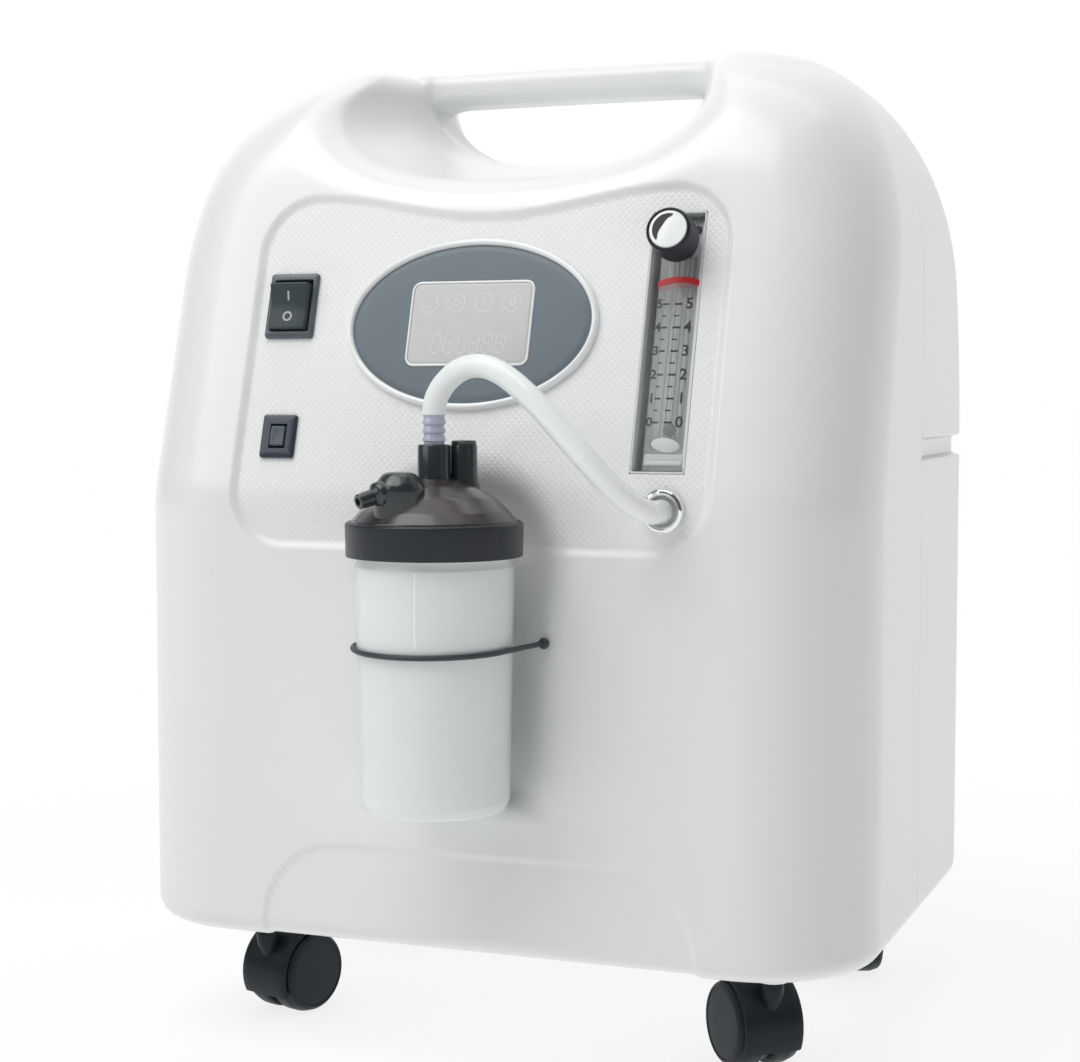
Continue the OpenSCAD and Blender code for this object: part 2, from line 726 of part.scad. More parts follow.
module fan_rotor() {
    color([0.20, 0.20, 0.22]) on_rear([0, fan_z], body_d - wall - 26) union() {
        cylinder(r = 2, h = 6);
        translate([0, 0, 4]) cylinder(r = 17, h = 18);
        for (a = [0:6]) rotate(360 / 7 * a) translate([16, 0, 13]) rotate([35, 0, 0])
            translate([0, -1, -9]) cube([24, 2, 18]);
    }
}

module sieve_columns() {
    color([0.74, 0.76, 0.78]) at_front()
        for (s = [-1, 1]) translate([s * 128, 150, body_bottom + wall + 2]) union() {
            cylinder(r = 29, h = 226);
            translate([0, 0, 226]) cylinder(r = 31, h = 10);
            translate([0, 0, 236]) cylinder(r = 6, h = 10);
        }
}

module product_tank() {
    color([0.60, 0.66, 0.72]) at_front() translate([-128, 91, body_bottom + wall + 2]) union() {
        translate([0, 0, 4]) cylinder(r = 24, h = 170);
        translate([0, 0, 174]) cylinder(r1 = 24, r2 = 10, h = 12);
        translate([0, 0, 186]) cylinder(r = 5, h = 8);
        cylinder(r = 18, h = 4);
    }
}

// Rotary valve manifold across the tops of the sieve columns
module valve_block() {
    color([0.50, 0.52, 0.55]) at_front() translate([0, 150, body_bottom + wall + 2 + 246]) union() {
        translate([-140, -14, 0]) cube([280, 28, 14]);
        translate([-32, -25, 14]) cube([64, 50, 26]);
        for (x = [-18, 18]) translate([x, 0, 40]) cylinder(r = 11, h = 24);
    }
}

module control_board() {
    color([0.10, 0.36, 0.22]) at_front() translate([0, 92, 300]) union() {
        translate([-70, 0, 0]) cube([140, 1.6, 84]);
        translate([-56, 1.6, 8]) cube([30, 24, 34]);
        translate([10, 1.6, 20]) cube([44, 14, 8]);
        for (i = [0:3]) translate([-10 + 18 * i, 1.6, 62]) rotate([-90, 0, 0]) cylinder(r = 6, h = 16);
    }
}

// ---------- casters ----------

module caster_collars() {
    color([0.93, 0.94, 0.94]) at_front() for (c = casters) translate([c[0], c[1], collar_bottom])
        tube(9, stem_d / 2 + shaft_gap, body_bottom - collar_bottom);
}

module at_caster(i) {
    at_front() translate([casters[i][0], casters[i][1], 0]) rotate(casters[i][2]) children();
}

// Places a child at the axle, with its +Z along the axle
module on_axle(i) { at_caster(i) translate([0, trail, wheel_d / 2]) rotate([0, 90, 0]) children(); }

// Hood with its web between the wheels, its cover over them, and the stem
module caster_hood(i) {
    cover_r = wheel_d / 2 + 2.2;
    half = web_half + 0.4 + wheel_w - 1.4;
    color([0.10, 0.13, 0.15]) union() {
        on_axle(i) difference() {
            union() {
                translate([0, 0, -web_half]) cylinder(r = wheel_d / 2 - 2.5, h = 2 * web_half);
                difference() {
                    translate([0, 0, -half]) cylinder(r = cover_r, h = 2 * half);
                    translate([0, 0, -half - 1]) cylinder(r = cover_r - 1.6, h = half + 1 - web_half);
                    translate([0, 0, web_half]) cylinder(r = cover_r - 1.6, h = half + 1);
                    translate([3, -50, -50]) cube([100, 100, 100]);
                    translate([-100, 10, -50]) cube([200, 100, 100]);
                }
            }
            translate([0, 0, -20]) cylinder(r = 2, h = 40);
        }
        at_caster(i) intersection() {
            translate([0, 0, 24]) cylinder(r = 7, h = collar_bottom - 24.2);
            translate([-20, -20, 0]) cube([40, 40 - 20 + trail - sqrt(pow(cover_r - 1, 2) - 16), 80]);
        }
        at_caster(i) translate([0, 0, 34]) cylinder(r = stem_d / 2, h = 34);
    }
}

module caster_axle(i) {
    color([0.66, 0.67, 0.68]) on_axle(i) translate([0, 0, -14]) cylinder(r = 2, h = 28);
}

// One wheel: a barrel-shaped tread, a dished outer face and a blind axle bore
module caster_wheel(i, side) {
    r = wheel_d / 2;
    color([0.11, 0.14, 0.17]) on_axle(i) mirror([0, 0, side]) translate([0, 0, web_half + 0.4])
        rotate_extrude() difference() {
            union() {
                square([r - 4, wheel_w]);
                translate([0, 0]) square([r, wheel_w - 4]);
                translate([r - 4, wheel_w - 4]) circle(r = 4);
            }
            translate([-1, -1]) square([1 + 2 + shaft_gap, 13]);
            translate([6, wheel_w - 1]) square([r - 9.5, 2]);
            translate([-50, -50]) square([50, 100]);
        }
}

module caster_fl_hood() { caster_hood(0); }
module caster_fl_axle() { caster_axle(0); }
module caster_fl_wheel_l() { caster_wheel(0, 1); }
module caster_fl_wheel_r() { caster_wheel(0, 0); }
module caster_fr_hood() { caster_hood(1); }
module caster_fr_axle() { caster_axle(1); }
module caster_fr_wheel_l() { caster_wheel(1, 1); }
module caster_fr_wheel_r() { caster_wheel(1, 0); }
module caster_rl_hood() { caster_hood(2); }
module caster_rl_axle() { caster_axle(2); }
module caster_rl_wheel_l() { caster_wheel(2, 1); }
module caster_rl_wheel_r() { caster_wheel(2, 0); }
module caster_rr_hood() { caster_hood(3); }
module caster_rr_axle() { caster_axle(3); }
module caster_rr_wheel_l() { caster_wheel(3, 1); }
module caster_rr_wheel_r() { caster_wheel(3, 0); }

front_shell();
rear_shell();
carry_handle();
chassis_plate();
shell_screws();
display_bezel();
display_panel();
lcd_module();
switch_housing();
power_rocker();
breaker_body();
breaker_button();
flowmeter_tray();
flowmeter_block();
flowmeter_knob();
flowmeter_float();
outlet_port();
outlet_barb();
bottle_jar();
bottle_lid();
lid_gasket();
lid_barb();
relief_valve();
outlet_nozzle();
dip_tube();
diffuser();
bottle_strap();
strap_studs();
oxygen_hose();
filter_door();
intake_filter();
power_inlet();
inlet_pins();
caster_collars();
compressor_body();
compressor_heads();
compressor_mounts();
fan_frame();
fan_rotor();
sieve_columns();
product_tank();
valve_block();
control_board();
caster_fl_hood();
caster_fl_axle();
caster_fl_wheel_l();
caster_fl_wheel_r();
caster_fr_hood();
caster_fr_axle();
caster_fr_wheel_l();
caster_fr_wheel_r();
caster_rl_hood();
caster_rl_axle();
caster_rl_wheel_l();
caster_rl_wheel_r();
caster_rr_hood();
caster_rr_axle();
caster_rr_wheel_l();
caster_rr_wheel_r();
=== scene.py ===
"""Looks of the home oxygen concentrator: shells, controls, humidifier bottle, hose and casters.

Lengths are in millimetres in the design frame, which has y = 0 on the lower front face of the cabinet.
at() turns a design point into the row frame, in metres.
"""

import math

import bmesh
import bpy
import numpy as np
from mathutils import Matrix, Vector


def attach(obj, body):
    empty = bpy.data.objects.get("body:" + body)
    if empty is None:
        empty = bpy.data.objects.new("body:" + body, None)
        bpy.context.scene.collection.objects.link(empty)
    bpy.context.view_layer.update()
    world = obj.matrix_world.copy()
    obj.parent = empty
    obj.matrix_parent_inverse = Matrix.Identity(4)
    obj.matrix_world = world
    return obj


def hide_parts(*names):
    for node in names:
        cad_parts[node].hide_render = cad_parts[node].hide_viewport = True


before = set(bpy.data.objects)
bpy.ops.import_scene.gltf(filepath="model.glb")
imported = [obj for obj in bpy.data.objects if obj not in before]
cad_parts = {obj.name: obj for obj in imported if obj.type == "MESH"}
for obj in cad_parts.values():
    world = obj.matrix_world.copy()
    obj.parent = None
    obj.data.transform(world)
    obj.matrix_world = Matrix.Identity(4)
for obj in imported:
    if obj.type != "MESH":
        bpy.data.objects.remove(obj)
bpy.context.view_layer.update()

MM = 0.001
ROOT = "root"

# Depth of the lower front face in the row frame
FRONT_Y = -104.0


def at(x, y, z):
    """A design point in the row frame, in metres."""
    return Vector((x * MM, (y + FRONT_Y) * MM, z * MM))


# ---------- camera and hose ----------


def make_camera():
    cam = bpy.data.cameras.new("camera")
    cam.lens, cam.sensor_width = 70.15, 36.0
    cam.clip_start, cam.clip_end = 0.05, 60.0
    obj = bpy.data.objects.new("camera", cam)
    obj.location = (0.36295, -0.9460, 0.3054)
    obj.rotation_euler = (math.radians(86.2), 0.0, math.radians(21.1))
    bpy.context.scene.collection.objects.link(obj)
    bpy.context.scene.camera = obj


make_camera()

HOSE_D = 10.0
HOSE_ROUTE = [
    (0, -26, 295.5), (0, -26, 299), (1.8, -27, 303.5), (6, -28.5, 309), (13.5, -30.5, 314.5),
    (22.5, -32.5, 316.5), (31.5, -34.5, 314.5), (40, -36, 309.5), (49, -37, 302),
    (58, -37.5, 293), (67, -37.5, 283.5), (75, -36.5, 274.5), (82, -33.5, 266.5),
    (88, -28, 260), (92, -20, 256), (93, -12, 255), (93, -5, 255)]


# ---------- materials ----------


def wire(made, *sources, **settings):
    """Sets a node's inputs and properties; an input takes a value or another node's output."""
    for key, value in (*settings.items(), *enumerate(sources)):
        socket = made.inputs[key] if isinstance(key, int) else made.inputs.get(key.replace("_", " "))
        if socket is None:
            setattr(made, key, value)
        elif isinstance(value, bpy.types.NodeSocket):
            made.id_data.links.new(value, socket)
        else:
            socket.default_value = value
    return made


def feed(tree, kind, *sources, out=0, **settings):
    """The output of a new node."""
    return wire(tree.nodes.new(kind), *sources, **settings).outputs[out]


def noise(tree, place, scale, detail=3.0):
    return feed(tree, "ShaderNodeTexNoise", place, Scale=scale, Detail=detail, Roughness=0.55)


def math_node(tree, operation, *sources):
    return feed(tree, "ShaderNodeMath", *sources, operation=operation)


def smooth_range(tree, source, *limits):
    """A smooth step; the limits are from low, from high, to low and to high."""
    return feed(tree, "ShaderNodeMapRange", source, *limits, interpolation_type="SMOOTHSTEP")


def bump_of(tree, height, strength, distance):
    return feed(tree, "ShaderNodeBump", Strength=strength, Distance=distance, Height=height)


def shades(tree, source, *colours):
    """A colour that drifts between two shades with a value."""
    out = feed(tree, "ShaderNodeValToRGB", source)
    for stop, place, colour in zip(out.node.color_ramp.elements, (0.3, 0.7), colours):
        stop.position = place
        stop.color = (*colour, 1.0)
    return out


def scaled(colour, by):
    return tuple(min(1.0, c * by) for c in colour)


def new_material(name):
    """A material, its node tree, its shader and the object coordinates."""
    mat = bpy.data.materials.new(name)
    mat.use_nodes = True
    tree = mat.node_tree
    return mat, tree, tree.nodes["Principled BSDF"], feed(tree, "ShaderNodeTexCoord", out="Object")


ROUGH_DRIFT = 0.05


def moulded(name, colour, rough=0.4, vary=0.04, grain=900.0, bump=0.02, blotch=14.0, metallic=0.0,
            coat=0.0, coat_rough=0.1, **sockets):
    """Moulded or cast material: slow colour drift, roughness that varies with it, and fine grain."""
    mat, tree, shader, place = new_material(name)
    drift = noise(tree, place, blotch, 4.0)
    gloss = feed(tree, "ShaderNodeMapRange", drift, To_Min=max(0.02, rough - ROUGH_DRIFT),
                 To_Max=min(1.0, rough + ROUGH_DRIFT))
    wire(shader, Base_Color=shades(tree, drift, scaled(colour, 1 - vary), scaled(colour, 1 + vary)),
         Roughness=gloss, Normal=bump_of(tree, noise(tree, place, grain, 2.0), bump, 0.0005),
         Metallic=metallic, Coat_Weight=coat, Coat_Roughness=coat_rough, **sockets)
    return mat


def shell_plastic(name, colour):
    """Glossy white shell; the recessed panel, marked by the mesh's "panel" layer, has a dot texture."""
    mat, tree, shader, place = new_material(name)
    drift = noise(tree, place, 5.0)
    panel = feed(tree, "ShaderNodeAttribute", attribute_name="panel", out="Fac")
    turned = feed(tree, "ShaderNodeMapping", place, Rotation=(0.0, math.radians(45), 0.0),
                  Scale=(1 / DOT_PITCH, 0.0, 1 / DOT_PITCH))
    cell = feed(tree, "ShaderNodeVectorMath", turned, operation="FRACTION")
    middle = feed(tree, "ShaderNodeVectorMath", cell, (0.5, 0.0, 0.5), operation="DISTANCE", out="Value")
    dots = math_node(tree, "MULTIPLY", smooth_range(tree, middle, 0.46, 0.2, 0.0, 1.0), panel)
    grain = math_node(tree, "MULTIPLY", noise(tree, place, 700.0, 2.0), 0.06)
    height = math_node(tree, "ADD", dots, grain)
    wire(shader, Base_Color=shades(tree, drift, scaled(colour, 0.985), scaled(colour, 1.01)),
         Normal=bump_of(tree, height, 0.35, 0.0003),
         Roughness=feed(tree, "ShaderNodeMapRange", panel, To_Min=0.30, To_Max=0.46),
         Coat_Weight=0.25, Coat_Roughness=0.12)
    return mat


DOT_PITCH = 0.0022

SHELL_WHITE = (0.80, 0.815, 0.81)

# ---------- material settings ----------

GLOSS_WHITE = moulded("gloss_white", (0.86, 0.875, 0.88), 0.22, 0.01, coat=0.5, bump=0.01)
SLATE = moulded("slate_overlay", (0.126, 0.162, 0.186), rough=0.42, grain=1500, bump=0.04, coat=0.1,
                coat_rough=0.3)
LCD = moulded("lcd_grey", (0.53, 0.535, 0.535), 0.30, 0.02, coat=0.4, coat_rough=0.08, bump=0.01)
LCD_GHOST = moulded("lcd_ghost", (0.66, 0.65, 0.625), 0.35, 0.02, bump=0.01)
SWITCH = moulded("switch_slate", (0.075, 0.092, 0.112), 0.38, 0.06, bump=0.05, coat=0.3)
SWITCH_FACE = moulded("switch_face", (0.038, 0.054, 0.060), 0.42, 0.06, bump=0.06, coat=0.1,
                      Specular_IOR_Level=0.3)
MARK_GREY = moulded("mark_grey", (0.42, 0.46, 0.46), 0.5, 0.03)
NAVY = moulded("breaker_navy", (0.016, 0.026, 0.046), 0.3, 0.06, coat=0.25)
NAVY_BUTTON = moulded("breaker_plunger", (0.032, 0.050, 0.070), 0.28, 0.08, coat=0.3)
# Painted shade: grey for the walls of the meter's recess, which is white plastic in shadow; the socket at the
# block's foot takes the same grey
TRAY_SHADE_GREY = moulded("tray_black", (0.50, 0.52, 0.52), 0.45, 0.08, bump=0.05)
TRAY_LIP = moulded("tray_lip", (0.66, 0.68, 0.68), 0.2, 0.03, coat=0.5)
BACKING = moulded("meter_backing", (0.83, 0.85, 0.85), 0.4, 0.05, bump=0.03)
CLIP = moulded("meter_clip", (0.56, 0.58, 0.59), 0.3, 0.12, coat=0.3)
GLINT = moulded("meter_glint", (0.66, 0.68, 0.68), 0.15, 0.02)
ACRYLIC = moulded("clear_acrylic", (0.66, 0.70, 0.70), 0.10, 0.03, bump=0.0, coat=0.4,
                  coat_rough=0.04, Alpha=0.32)
# Painted shade: dark lines that stand for the bore's walls looking dark through the clear block
BORE_SHADE = moulded("bore_painted_shade", (0.16, 0.17, 0.175), 0.3, 0.1, bump=0.0)
INK = moulded("ink_black", (0.02, 0.02, 0.022), 0.5, 0.1)
INK_FAINT = moulded("ink_grey", (0.060, 0.064, 0.068), 0.5, 0.1)
RED = moulded("ink_red", (0.55, 0.012, 0.02), 0.4, 0.06, coat=0.3)
KNOB = moulded("knob_black", (0.014, 0.017, 0.027), 0.45, 0.1, coat=0.1, Specular_IOR_Level=0.25)
KNOB_CAP = moulded("knob_cap", (0.88, 0.90, 0.90), 0.16, 0.02, coat=0.6, bump=0.02)
FLOAT = moulded("float_black", (0.006, 0.006, 0.008), 0.12, 0.1, metallic=0.8)
CHROME = moulded("chrome_bush", (0.86, 0.87, 0.87), 0.08, 0.02, metallic=1.0, bump=0.01)
NYLON = moulded("nylon_natural", (0.82, 0.82, 0.78), 0.4, 0.03, Subsurface_Weight=0.2)
# The dome's lighter brown is partly the smoky plastic's own tint and partly painted sheen; the skirt of the
# same lid is darker
LID = moulded("lid_dome", (0.050, 0.040, 0.048), 0.30, 0.25, bump=0.01, coat=0.55, coat_rough=0.13,
              Specular_IOR_Level=0.3)
LID_SKIRT = moulded("lid_skirt", (0.020, 0.024, 0.030), 0.34, 0.12, bump=0.01, coat=0.12,
                    coat_rough=0.2, Specular_IOR_Level=0.25)
LID_POST = moulded("lid_post", (0.024, 0.031, 0.035), 0.26, 0.12, coat=0.5, coat_rough=0.12,
                   Specular_IOR_Level=0.4)
LID_TOP = moulded("lid_top", (0.035, 0.042, 0.045), 0.35, 0.08, coat=0.3)
JAR = moulded("jar_frosted", (0.93, 0.965, 0.96), 0.24, 0.02, grain=300, bump=0.03, coat=0.35,
              Alpha=0.76)
# Painted highlight: a bright, opaque colour for the strip that stands for a vertical reflection down the
# jar's front
PAINTED_JAR_HIGHLIGHT = moulded("jar_painted_highlight", (0.95, 0.975, 0.97), 0.3, 0.02, bump=0.02)
BARB = moulded("barb_clear", (0.56, 0.58, 0.70), 0.14, 0.06, coat=0.5,
               Transmission_Weight=0.25, IOR=1.45)
STONE = moulded("diffuser_stone", (0.42, 0.58, 0.60), 0.8, 0.12, grain=1800, bump=0.3)
STRAP = moulded("strap_elastic", (0.030, 0.042, 0.050), 0.45, 0.12, grain=2200, bump=0.15)
HOSE = moulded("hose_silicone", (0.925, 0.95, 0.935), 0.28, 0.02, bump=0.02, coat=0.3, Alpha=0.93,
               Subsurface_Weight=0.15)
CASTER = moulded("caster_nylon", (0.009, 0.015, 0.020), 0.42, 0.12, grain=1200, bump=0.05,
                 Specular_IOR_Level=0.25)
WHEEL = moulded("caster_wheel", (0.008, 0.014, 0.020), 0.45, 0.14, grain=1400, bump=0.06,
                Specular_IOR_Level=0.25)
# Painted shade: the handle is the shell's white plastic, coloured a shade darker to stand for the shade on
# its front and underside
HANDLE_SHADED_WHITE = moulded("handle_grey", (0.77, 0.785, 0.785), 0.36, 0.02, bump=0.04, coat=0.2)
DOOR = moulded("door_white", (0.74, 0.755, 0.76), 0.4, 0.02, bump=0.05)
FOAM = moulded("filter_foam", (0.045, 0.05, 0.055), 0.95, 0.3, grain=900, bump=0.8)
INLET = moulded("inlet_black", (0.018, 0.018, 0.020), 0.4, 0.12, bump=0.06)
ZINC = moulded("zinc_plate", (0.46, 0.48, 0.50), 0.35, 0.12, metallic=0.9, blotch=60)
STEEL = moulded("screw_steel", (0.55, 0.56, 0.57), 0.28, 0.08, metallic=1.0)
RUBBER = moulded("gasket_rubber", (0.06, 0.06, 0.062), 0.7, 0.12)
DIP = moulded("tube_clear", (0.62, 0.72, 0.74), 0.2, 0.03, Alpha=0.8)
BRASS = moulded("pin_brass", (0.66, 0.60, 0.42), 0.25, 0.1, metallic=1.0)
ALLOY = moulded("compressor_alloy", (0.42, 0.44, 0.46), 0.5, 0.1, metallic=0.8, grain=600,
                bump=0.25)
FAN = moulded("fan_black", (0.02, 0.02, 0.022), 0.45, 0.1)
COLUMN = moulded("column_alloy", (0.55, 0.58, 0.60), 0.32, 0.06, metallic=0.9)
BOARD = moulded("board_green", (0.02, 0.16, 0.07), 0.4, 0.15, grain=500, bump=0.1)
SHELL = shell_plastic("shell_white", SHELL_WHITE)

# ---------- mesh helpers ----------


def shift(x=0.0, y=0.0, z=0.0):
    return Matrix.Translation((x, y, z))


def turn(degrees, axis):
    return Matrix.Rotation(math.radians(degrees), 4, axis)


def add_piece(name, mesh, body, materials, replaced=()):
    """Links a mesh as a piece that rides on a body, and names the CAD nodes that it stands for."""
    obj = bpy.data.objects.new(name, mesh)
    bpy.context.scene.collection.objects.link(obj)
    for mat in materials:
        mesh.materials.append(mat)
    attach(obj, body)
    if replaced:
        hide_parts(*replaced)
    return obj


# ---------- the cabinet's outline ----------

BODY_W, BODY_D, BODY_TOP, BODY_BOTTOM = 353.0, 270.0, 464.0, 55.0
FRONT_R, REAR_R, EDGE_R = 55.0, 40.0, 10.0
LEAN_DEG, LEAN_Z, LEAN_SOFT = 16.2, 257.5, 16.0
LEAN = math.radians(LEAN_DEG)
BROW_Z, SHOULDER_Z, SHOULDER_X, BACK_Z = 397.0, 354.0, 80.0, 280.0
RIDGE_FRONT, RIDGE_REAR = 130.0, 160.0
SEAM_Y, WALL = 135.0, 2.4
RECESS, RIM, PANEL_HALF, PANEL_BOTTOM, PANEL_R = 2.0, 5.0, 115.0, 234.0, 28.0
# Forms that belong to the front stop at this depth
FRONT_ZONE = 90
ARCH_X, ARCH_HALF, ARCH_TOP, ARCH_R, ARCH_DEEP = 5, 104, 102.5, 40, 1.2
# Heights between which the finger groove's sides fall
GROOVE, GROOVE_DEEP = (273.0, 274.6, 282.4, 284.0), 4.0
BOTTLE_Y = -26.0
NICHE_R, NICHE_BALL, NICHE_FLOOR, NICHE_SPRING = 45.0, 50.6, 126.0, 232.0
SCOOP = np.array([[-20, 112, 384], [10, 106, 391], [40, 102, 399], [70, 95, 405], [105, 82, 412],
                  [134, 72, 416], [162, 72, 416], [192, 82, 412], [225, 95, 405], [255, 102, 399],
                  [290, 106, 391]], float)


def roll(s, n):
    return np.maximum(0.0, 1 - np.clip(s, 0, 1) ** n) ** (1 / n)


def front_at(z):
    """Depth of the front face at height z: upright, then leaning back, then rolling over the brow."""
    s = z - LEAN_Z
    soft = (s + LEAN_SOFT / 2) ** 2 / (2 * LEAN_SOFT)
    lean = np.where(s < -LEAN_SOFT / 2, 0.0, np.where(s > LEAN_SOFT / 2, s, soft)) * math.tan(LEAN)
    brow_y = (BROW_Z - LEAN_Z) * math.tan(LEAN)
    control = brow_y + (BODY_TOP - BROW_Z) * math.tan(LEAN)
    t = np.sqrt(np.clip((BODY_TOP - z) / (BODY_TOP - BROW_Z), 0, 1))
    brow = t * t * brow_y + 2 * t * (1 - t) * control + (1 - t) ** 2 * RIDGE_FRONT
    return np.where(z < BROW_Z, lean, brow)


def rear_at(z):
    return RIDGE_REAR + (BODY_D - RIDGE_REAR) * roll((z - BACK_Z) / (BODY_TOP - BACK_Z), 1.85)


def half_at(z):
    return BODY_W / 2 - SHOULDER_X + SHOULDER_X * roll((z - SHOULDER_Z) / (BODY_TOP - SHOULDER_Z), 2.2)


def smooth_max(a, b, k):
    h = np.maximum(k - np.abs(a - b), 0.0) / k
    return np.maximum(a, b) + h * h * k * 0.25


def step(low, high, value):
    t = np.clip((value - low) / (high - low), 0, 1)
    return t * t * (3 - 2 * t)


def rounded_box(x, z, hx, z0, z1, r):
    """Signed distance from an upright rounded rectangle, round x = 0."""
    qx, qz = np.abs(x) - hx + r, np.abs(z - (z0 + z1) / 2) - (z1 - z0) / 2 + r
    return np.hypot(np.maximum(qx, 0), np.maximum(qz, 0)) + np.minimum(np.maximum(qx, qz), 0) - r


def panel_distance(x, z):
    """Signed distance from the control panel's outline; its top edge dips in the middle."""
    dip = 11 * (1 + np.cos(math.pi * np.minimum(1, np.abs(x) / 88))) / 2
    return rounded_box(x, z + dip * step(300, 386, z), PANEL_HALF, PANEL_BOTTOM, BROW_Z, PANEL_R)


def panel_share(x, y, z):
    return step(0, RIM, -panel_distance(x, z)) * (y < FRONT_ZONE)


def cabinet_field(p):
    """Negative inside the cabinet's outer form, in millimetres close to the surface."""
    x, y, z = p[:, 0], p[:, 1], p[:, 2]
    f, b, h = front_at(z), rear_at(z), half_at(z)
    cy, hy = (f + b) / 2, (b - f) / 2
    r = np.minimum(np.where(y < cy, FRONT_R, REAR_R), np.maximum(hy - 0.5, 1.0))
    qx, qy = np.abs(x) - h + r, np.abs(y - cy) - hy + r
    side = np.hypot(np.maximum(qx, 0), np.maximum(qy, 0)) + np.minimum(np.maximum(qx, qy), 0) - r
    body = smooth_max(side, z - BODY_TOP, 6.0)
    # bottom edge
    cz = z - BODY_BOTTOM - EDGE_R
    low = np.hypot(np.minimum(cz, 0), np.maximum(side + EDGE_R, 0)) - EDGE_R
    body = np.where(cz < 0, np.maximum(low, -z + BODY_BOTTOM), body)
    return body


def shell_field(p):
    x, y, z = p[:, 0], p[:, 1], p[:, 2]
    body = cabinet_field(p)
    front = y < FRONT_ZONE
    panel = panel_share(x, y, z)
    arch = step(0, 3.2, -rounded_box(x - ARCH_X, z, ARCH_HALF, -60, ARCH_TOP, ARCH_R)) * front
    low, low_end, high_end, high = GROOVE
    groove = step(low, low_end, z) * step(high, high_end, z) * step(SEAM_Y + 0.4, SEAM_Y + 2.0, y)
    body = body + RECESS / math.cos(LEAN) * panel + ARCH_DEEP * arch + GROOVE_DEEP * groove
    away = np.hypot(x, y - BOTTLE_Y)
    column = np.maximum(away - NICHE_R, z - NICHE_SPRING)
    column = smooth_max(column, NICHE_FLOOR - z, 8.0)
    ball = np.sqrt(away ** 2 + (z - NICHE_SPRING) ** 2) - NICHE_BALL
    niche = -smooth_max(-column, -ball, 10.0)
    body = smooth_max(body, -niche, 9.0)
    half = np.interp(y, SCOOP[:, 0], SCOOP[:, 1])
    depth = BODY_TOP - 6 - np.interp(y, SCOOP[:, 0], SCOOP[:, 2])
    across = (np.abs(x) / half) ** 2.5
    down = (np.maximum(BODY_TOP - 6 - z, 0) / depth) ** 2.5
    scoop = ((across + down) ** 0.4 - 1) * np.minimum(half, depth)
    return smooth_max(body, -scoop, 14.0)


def gradient(field, p, h=0.05):
    """Central differences of a field at points p."""
    g = np.empty_like(p)
    for axis in range(3):
        d = np.zeros(3)
        d[axis] = h
        g[:, axis] = (field(p + d) - field(p - d)) / (2 * h)
    return g


def settle(field, p, rounds=5, reach=1.2):
    """Moves points onto the field's zero surface."""
    for _ in range(rounds):
        g = gradient(field, p)
        length = np.maximum(np.linalg.norm(g, axis=1), 1e-6)
        move = np.clip(field(p) / length, -reach, reach)
        p = p - g / length[:, None] * move[:, None]
    return p


CORNERS = [(i, j, k) for i in (0, 1) for j in (0, 1) for k in (0, 1)]


def net_points(value, lines, cells):
    """One point in each cell: the mean of the surface's crossings with the cell's edges."""
    total, hits = np.zeros((len(cells), 3)), np.zeros(len(cells))
    for a in CORNERS:
        for axis in range(3):
            if a[axis]:
                continue
            b = tuple(1 if n == axis else a[n] for n in range(3))
            ia, ib = cells + a, cells + b
            va, vb = value[tuple(ia.T)], value[tuple(ib.T)]
            pa, pb = (np.stack([lines[n][i[:, n]] for n in range(3)], 1) for i in (ia, ib))
            crosses = (va < 0) != (vb < 0)
            share = np.where(crosses, va / np.where(crosses, va - vb, 1), 0)[:, None]
            total += np.where(crosses[:, None], pa + (pb - pa) * share, 0)
            hits += crosses
    return total / hits[:, None]


def net_quads(inside, index, axis):
    """A quad, facing out, round each grid edge along one axis that crosses the surface."""
    u, v = (axis + 1) % 3, (axis + 2) % 3
    room = np.array(inside.shape) - 1
    first = inside.take(range(room[axis]), axis)
    edges = np.argwhere(first != inside.take(range(1, room[axis] + 1), axis))
    edges = edges[np.all([(edges[:, n] > 0) & (edges[:, n] < room[n]) for n in (u, v)], axis=0)]
    ring = []
    for du, dv in ((-1, -1), (0, -1), (0, 0), (-1, 0)):
        cell = edges.copy()
        cell[:, u] += du
        cell[:, v] += dv
        ring.append(index[tuple(cell.T)])
    ring = np.stack(ring, 1)
    return np.where(first[tuple(edges.T)][:, None], ring, ring[:, ::-1])


def surface_net(field, *lines):
    """Points and quads close to the zero surface of a field, from a grid of lines."""
    nx, ny, nz = (len(values) for values in lines)
    grid = np.stack(np.meshgrid(*lines, indexing="ij"), -1).reshape(-1, 3)
    value = field(grid).reshape(nx, ny, nz)
    inside = value < 0
    count = sum(inside[i:nx - 1 + i, j:ny - 1 + j, k:nz - 1 + k].astype(np.int8) for i, j, k in CORNERS)
    cells = np.argwhere((count > 0) & (count < 8))
    index = -np.ones(count.shape, int)
    index[tuple(cells.T)] = np.arange(len(cells))
    return net_points(value, lines, cells), np.concatenate([net_quads(inside, index, n) for n in range(3)])


def lines_of(*stretches):
    """Grid lines from stretches of (start, end, spacing)."""
    made = []
    for start, end, spacing in stretches:
        n = max(1, round((end - start) / spacing))
        made.extend(start + (end - start) * i / n for i in range(n))
    return np.array([*made, stretches[-1][1]])


def cut_window(bm, place, half_u, half_v, deep=30.0):
    """Cuts an exact rectangular window; the place's +Z goes through it."""
    back = place.inverted()

    def near(face, margin):
        c = back @ face.calc_center_median()
        return abs(c.x) < half_u + margin and abs(c.y) < half_v + margin and abs(c.z) < deep

    for axis, half in ((0, half_u), (1, half_v)):
        for sign in (-1, 1):
            normal = Vector((0, 0, 0))
            normal[axis] = sign
            faces = [f for f in bm.faces if near(f, 8.0)]
            geom = list({e for f in faces for e in f.edges} | {v for f in faces for v in f.verts}) + faces
            bmesh.ops.bisect_plane(bm, geom=geom, plane_co=place @ (normal * half),
                                   plane_no=place.to_3x3() @ normal, dist=1e-5)
    bmesh.ops.delete(bm, geom=[f for f in bm.faces if near(f, -0.01)], context="FACES")


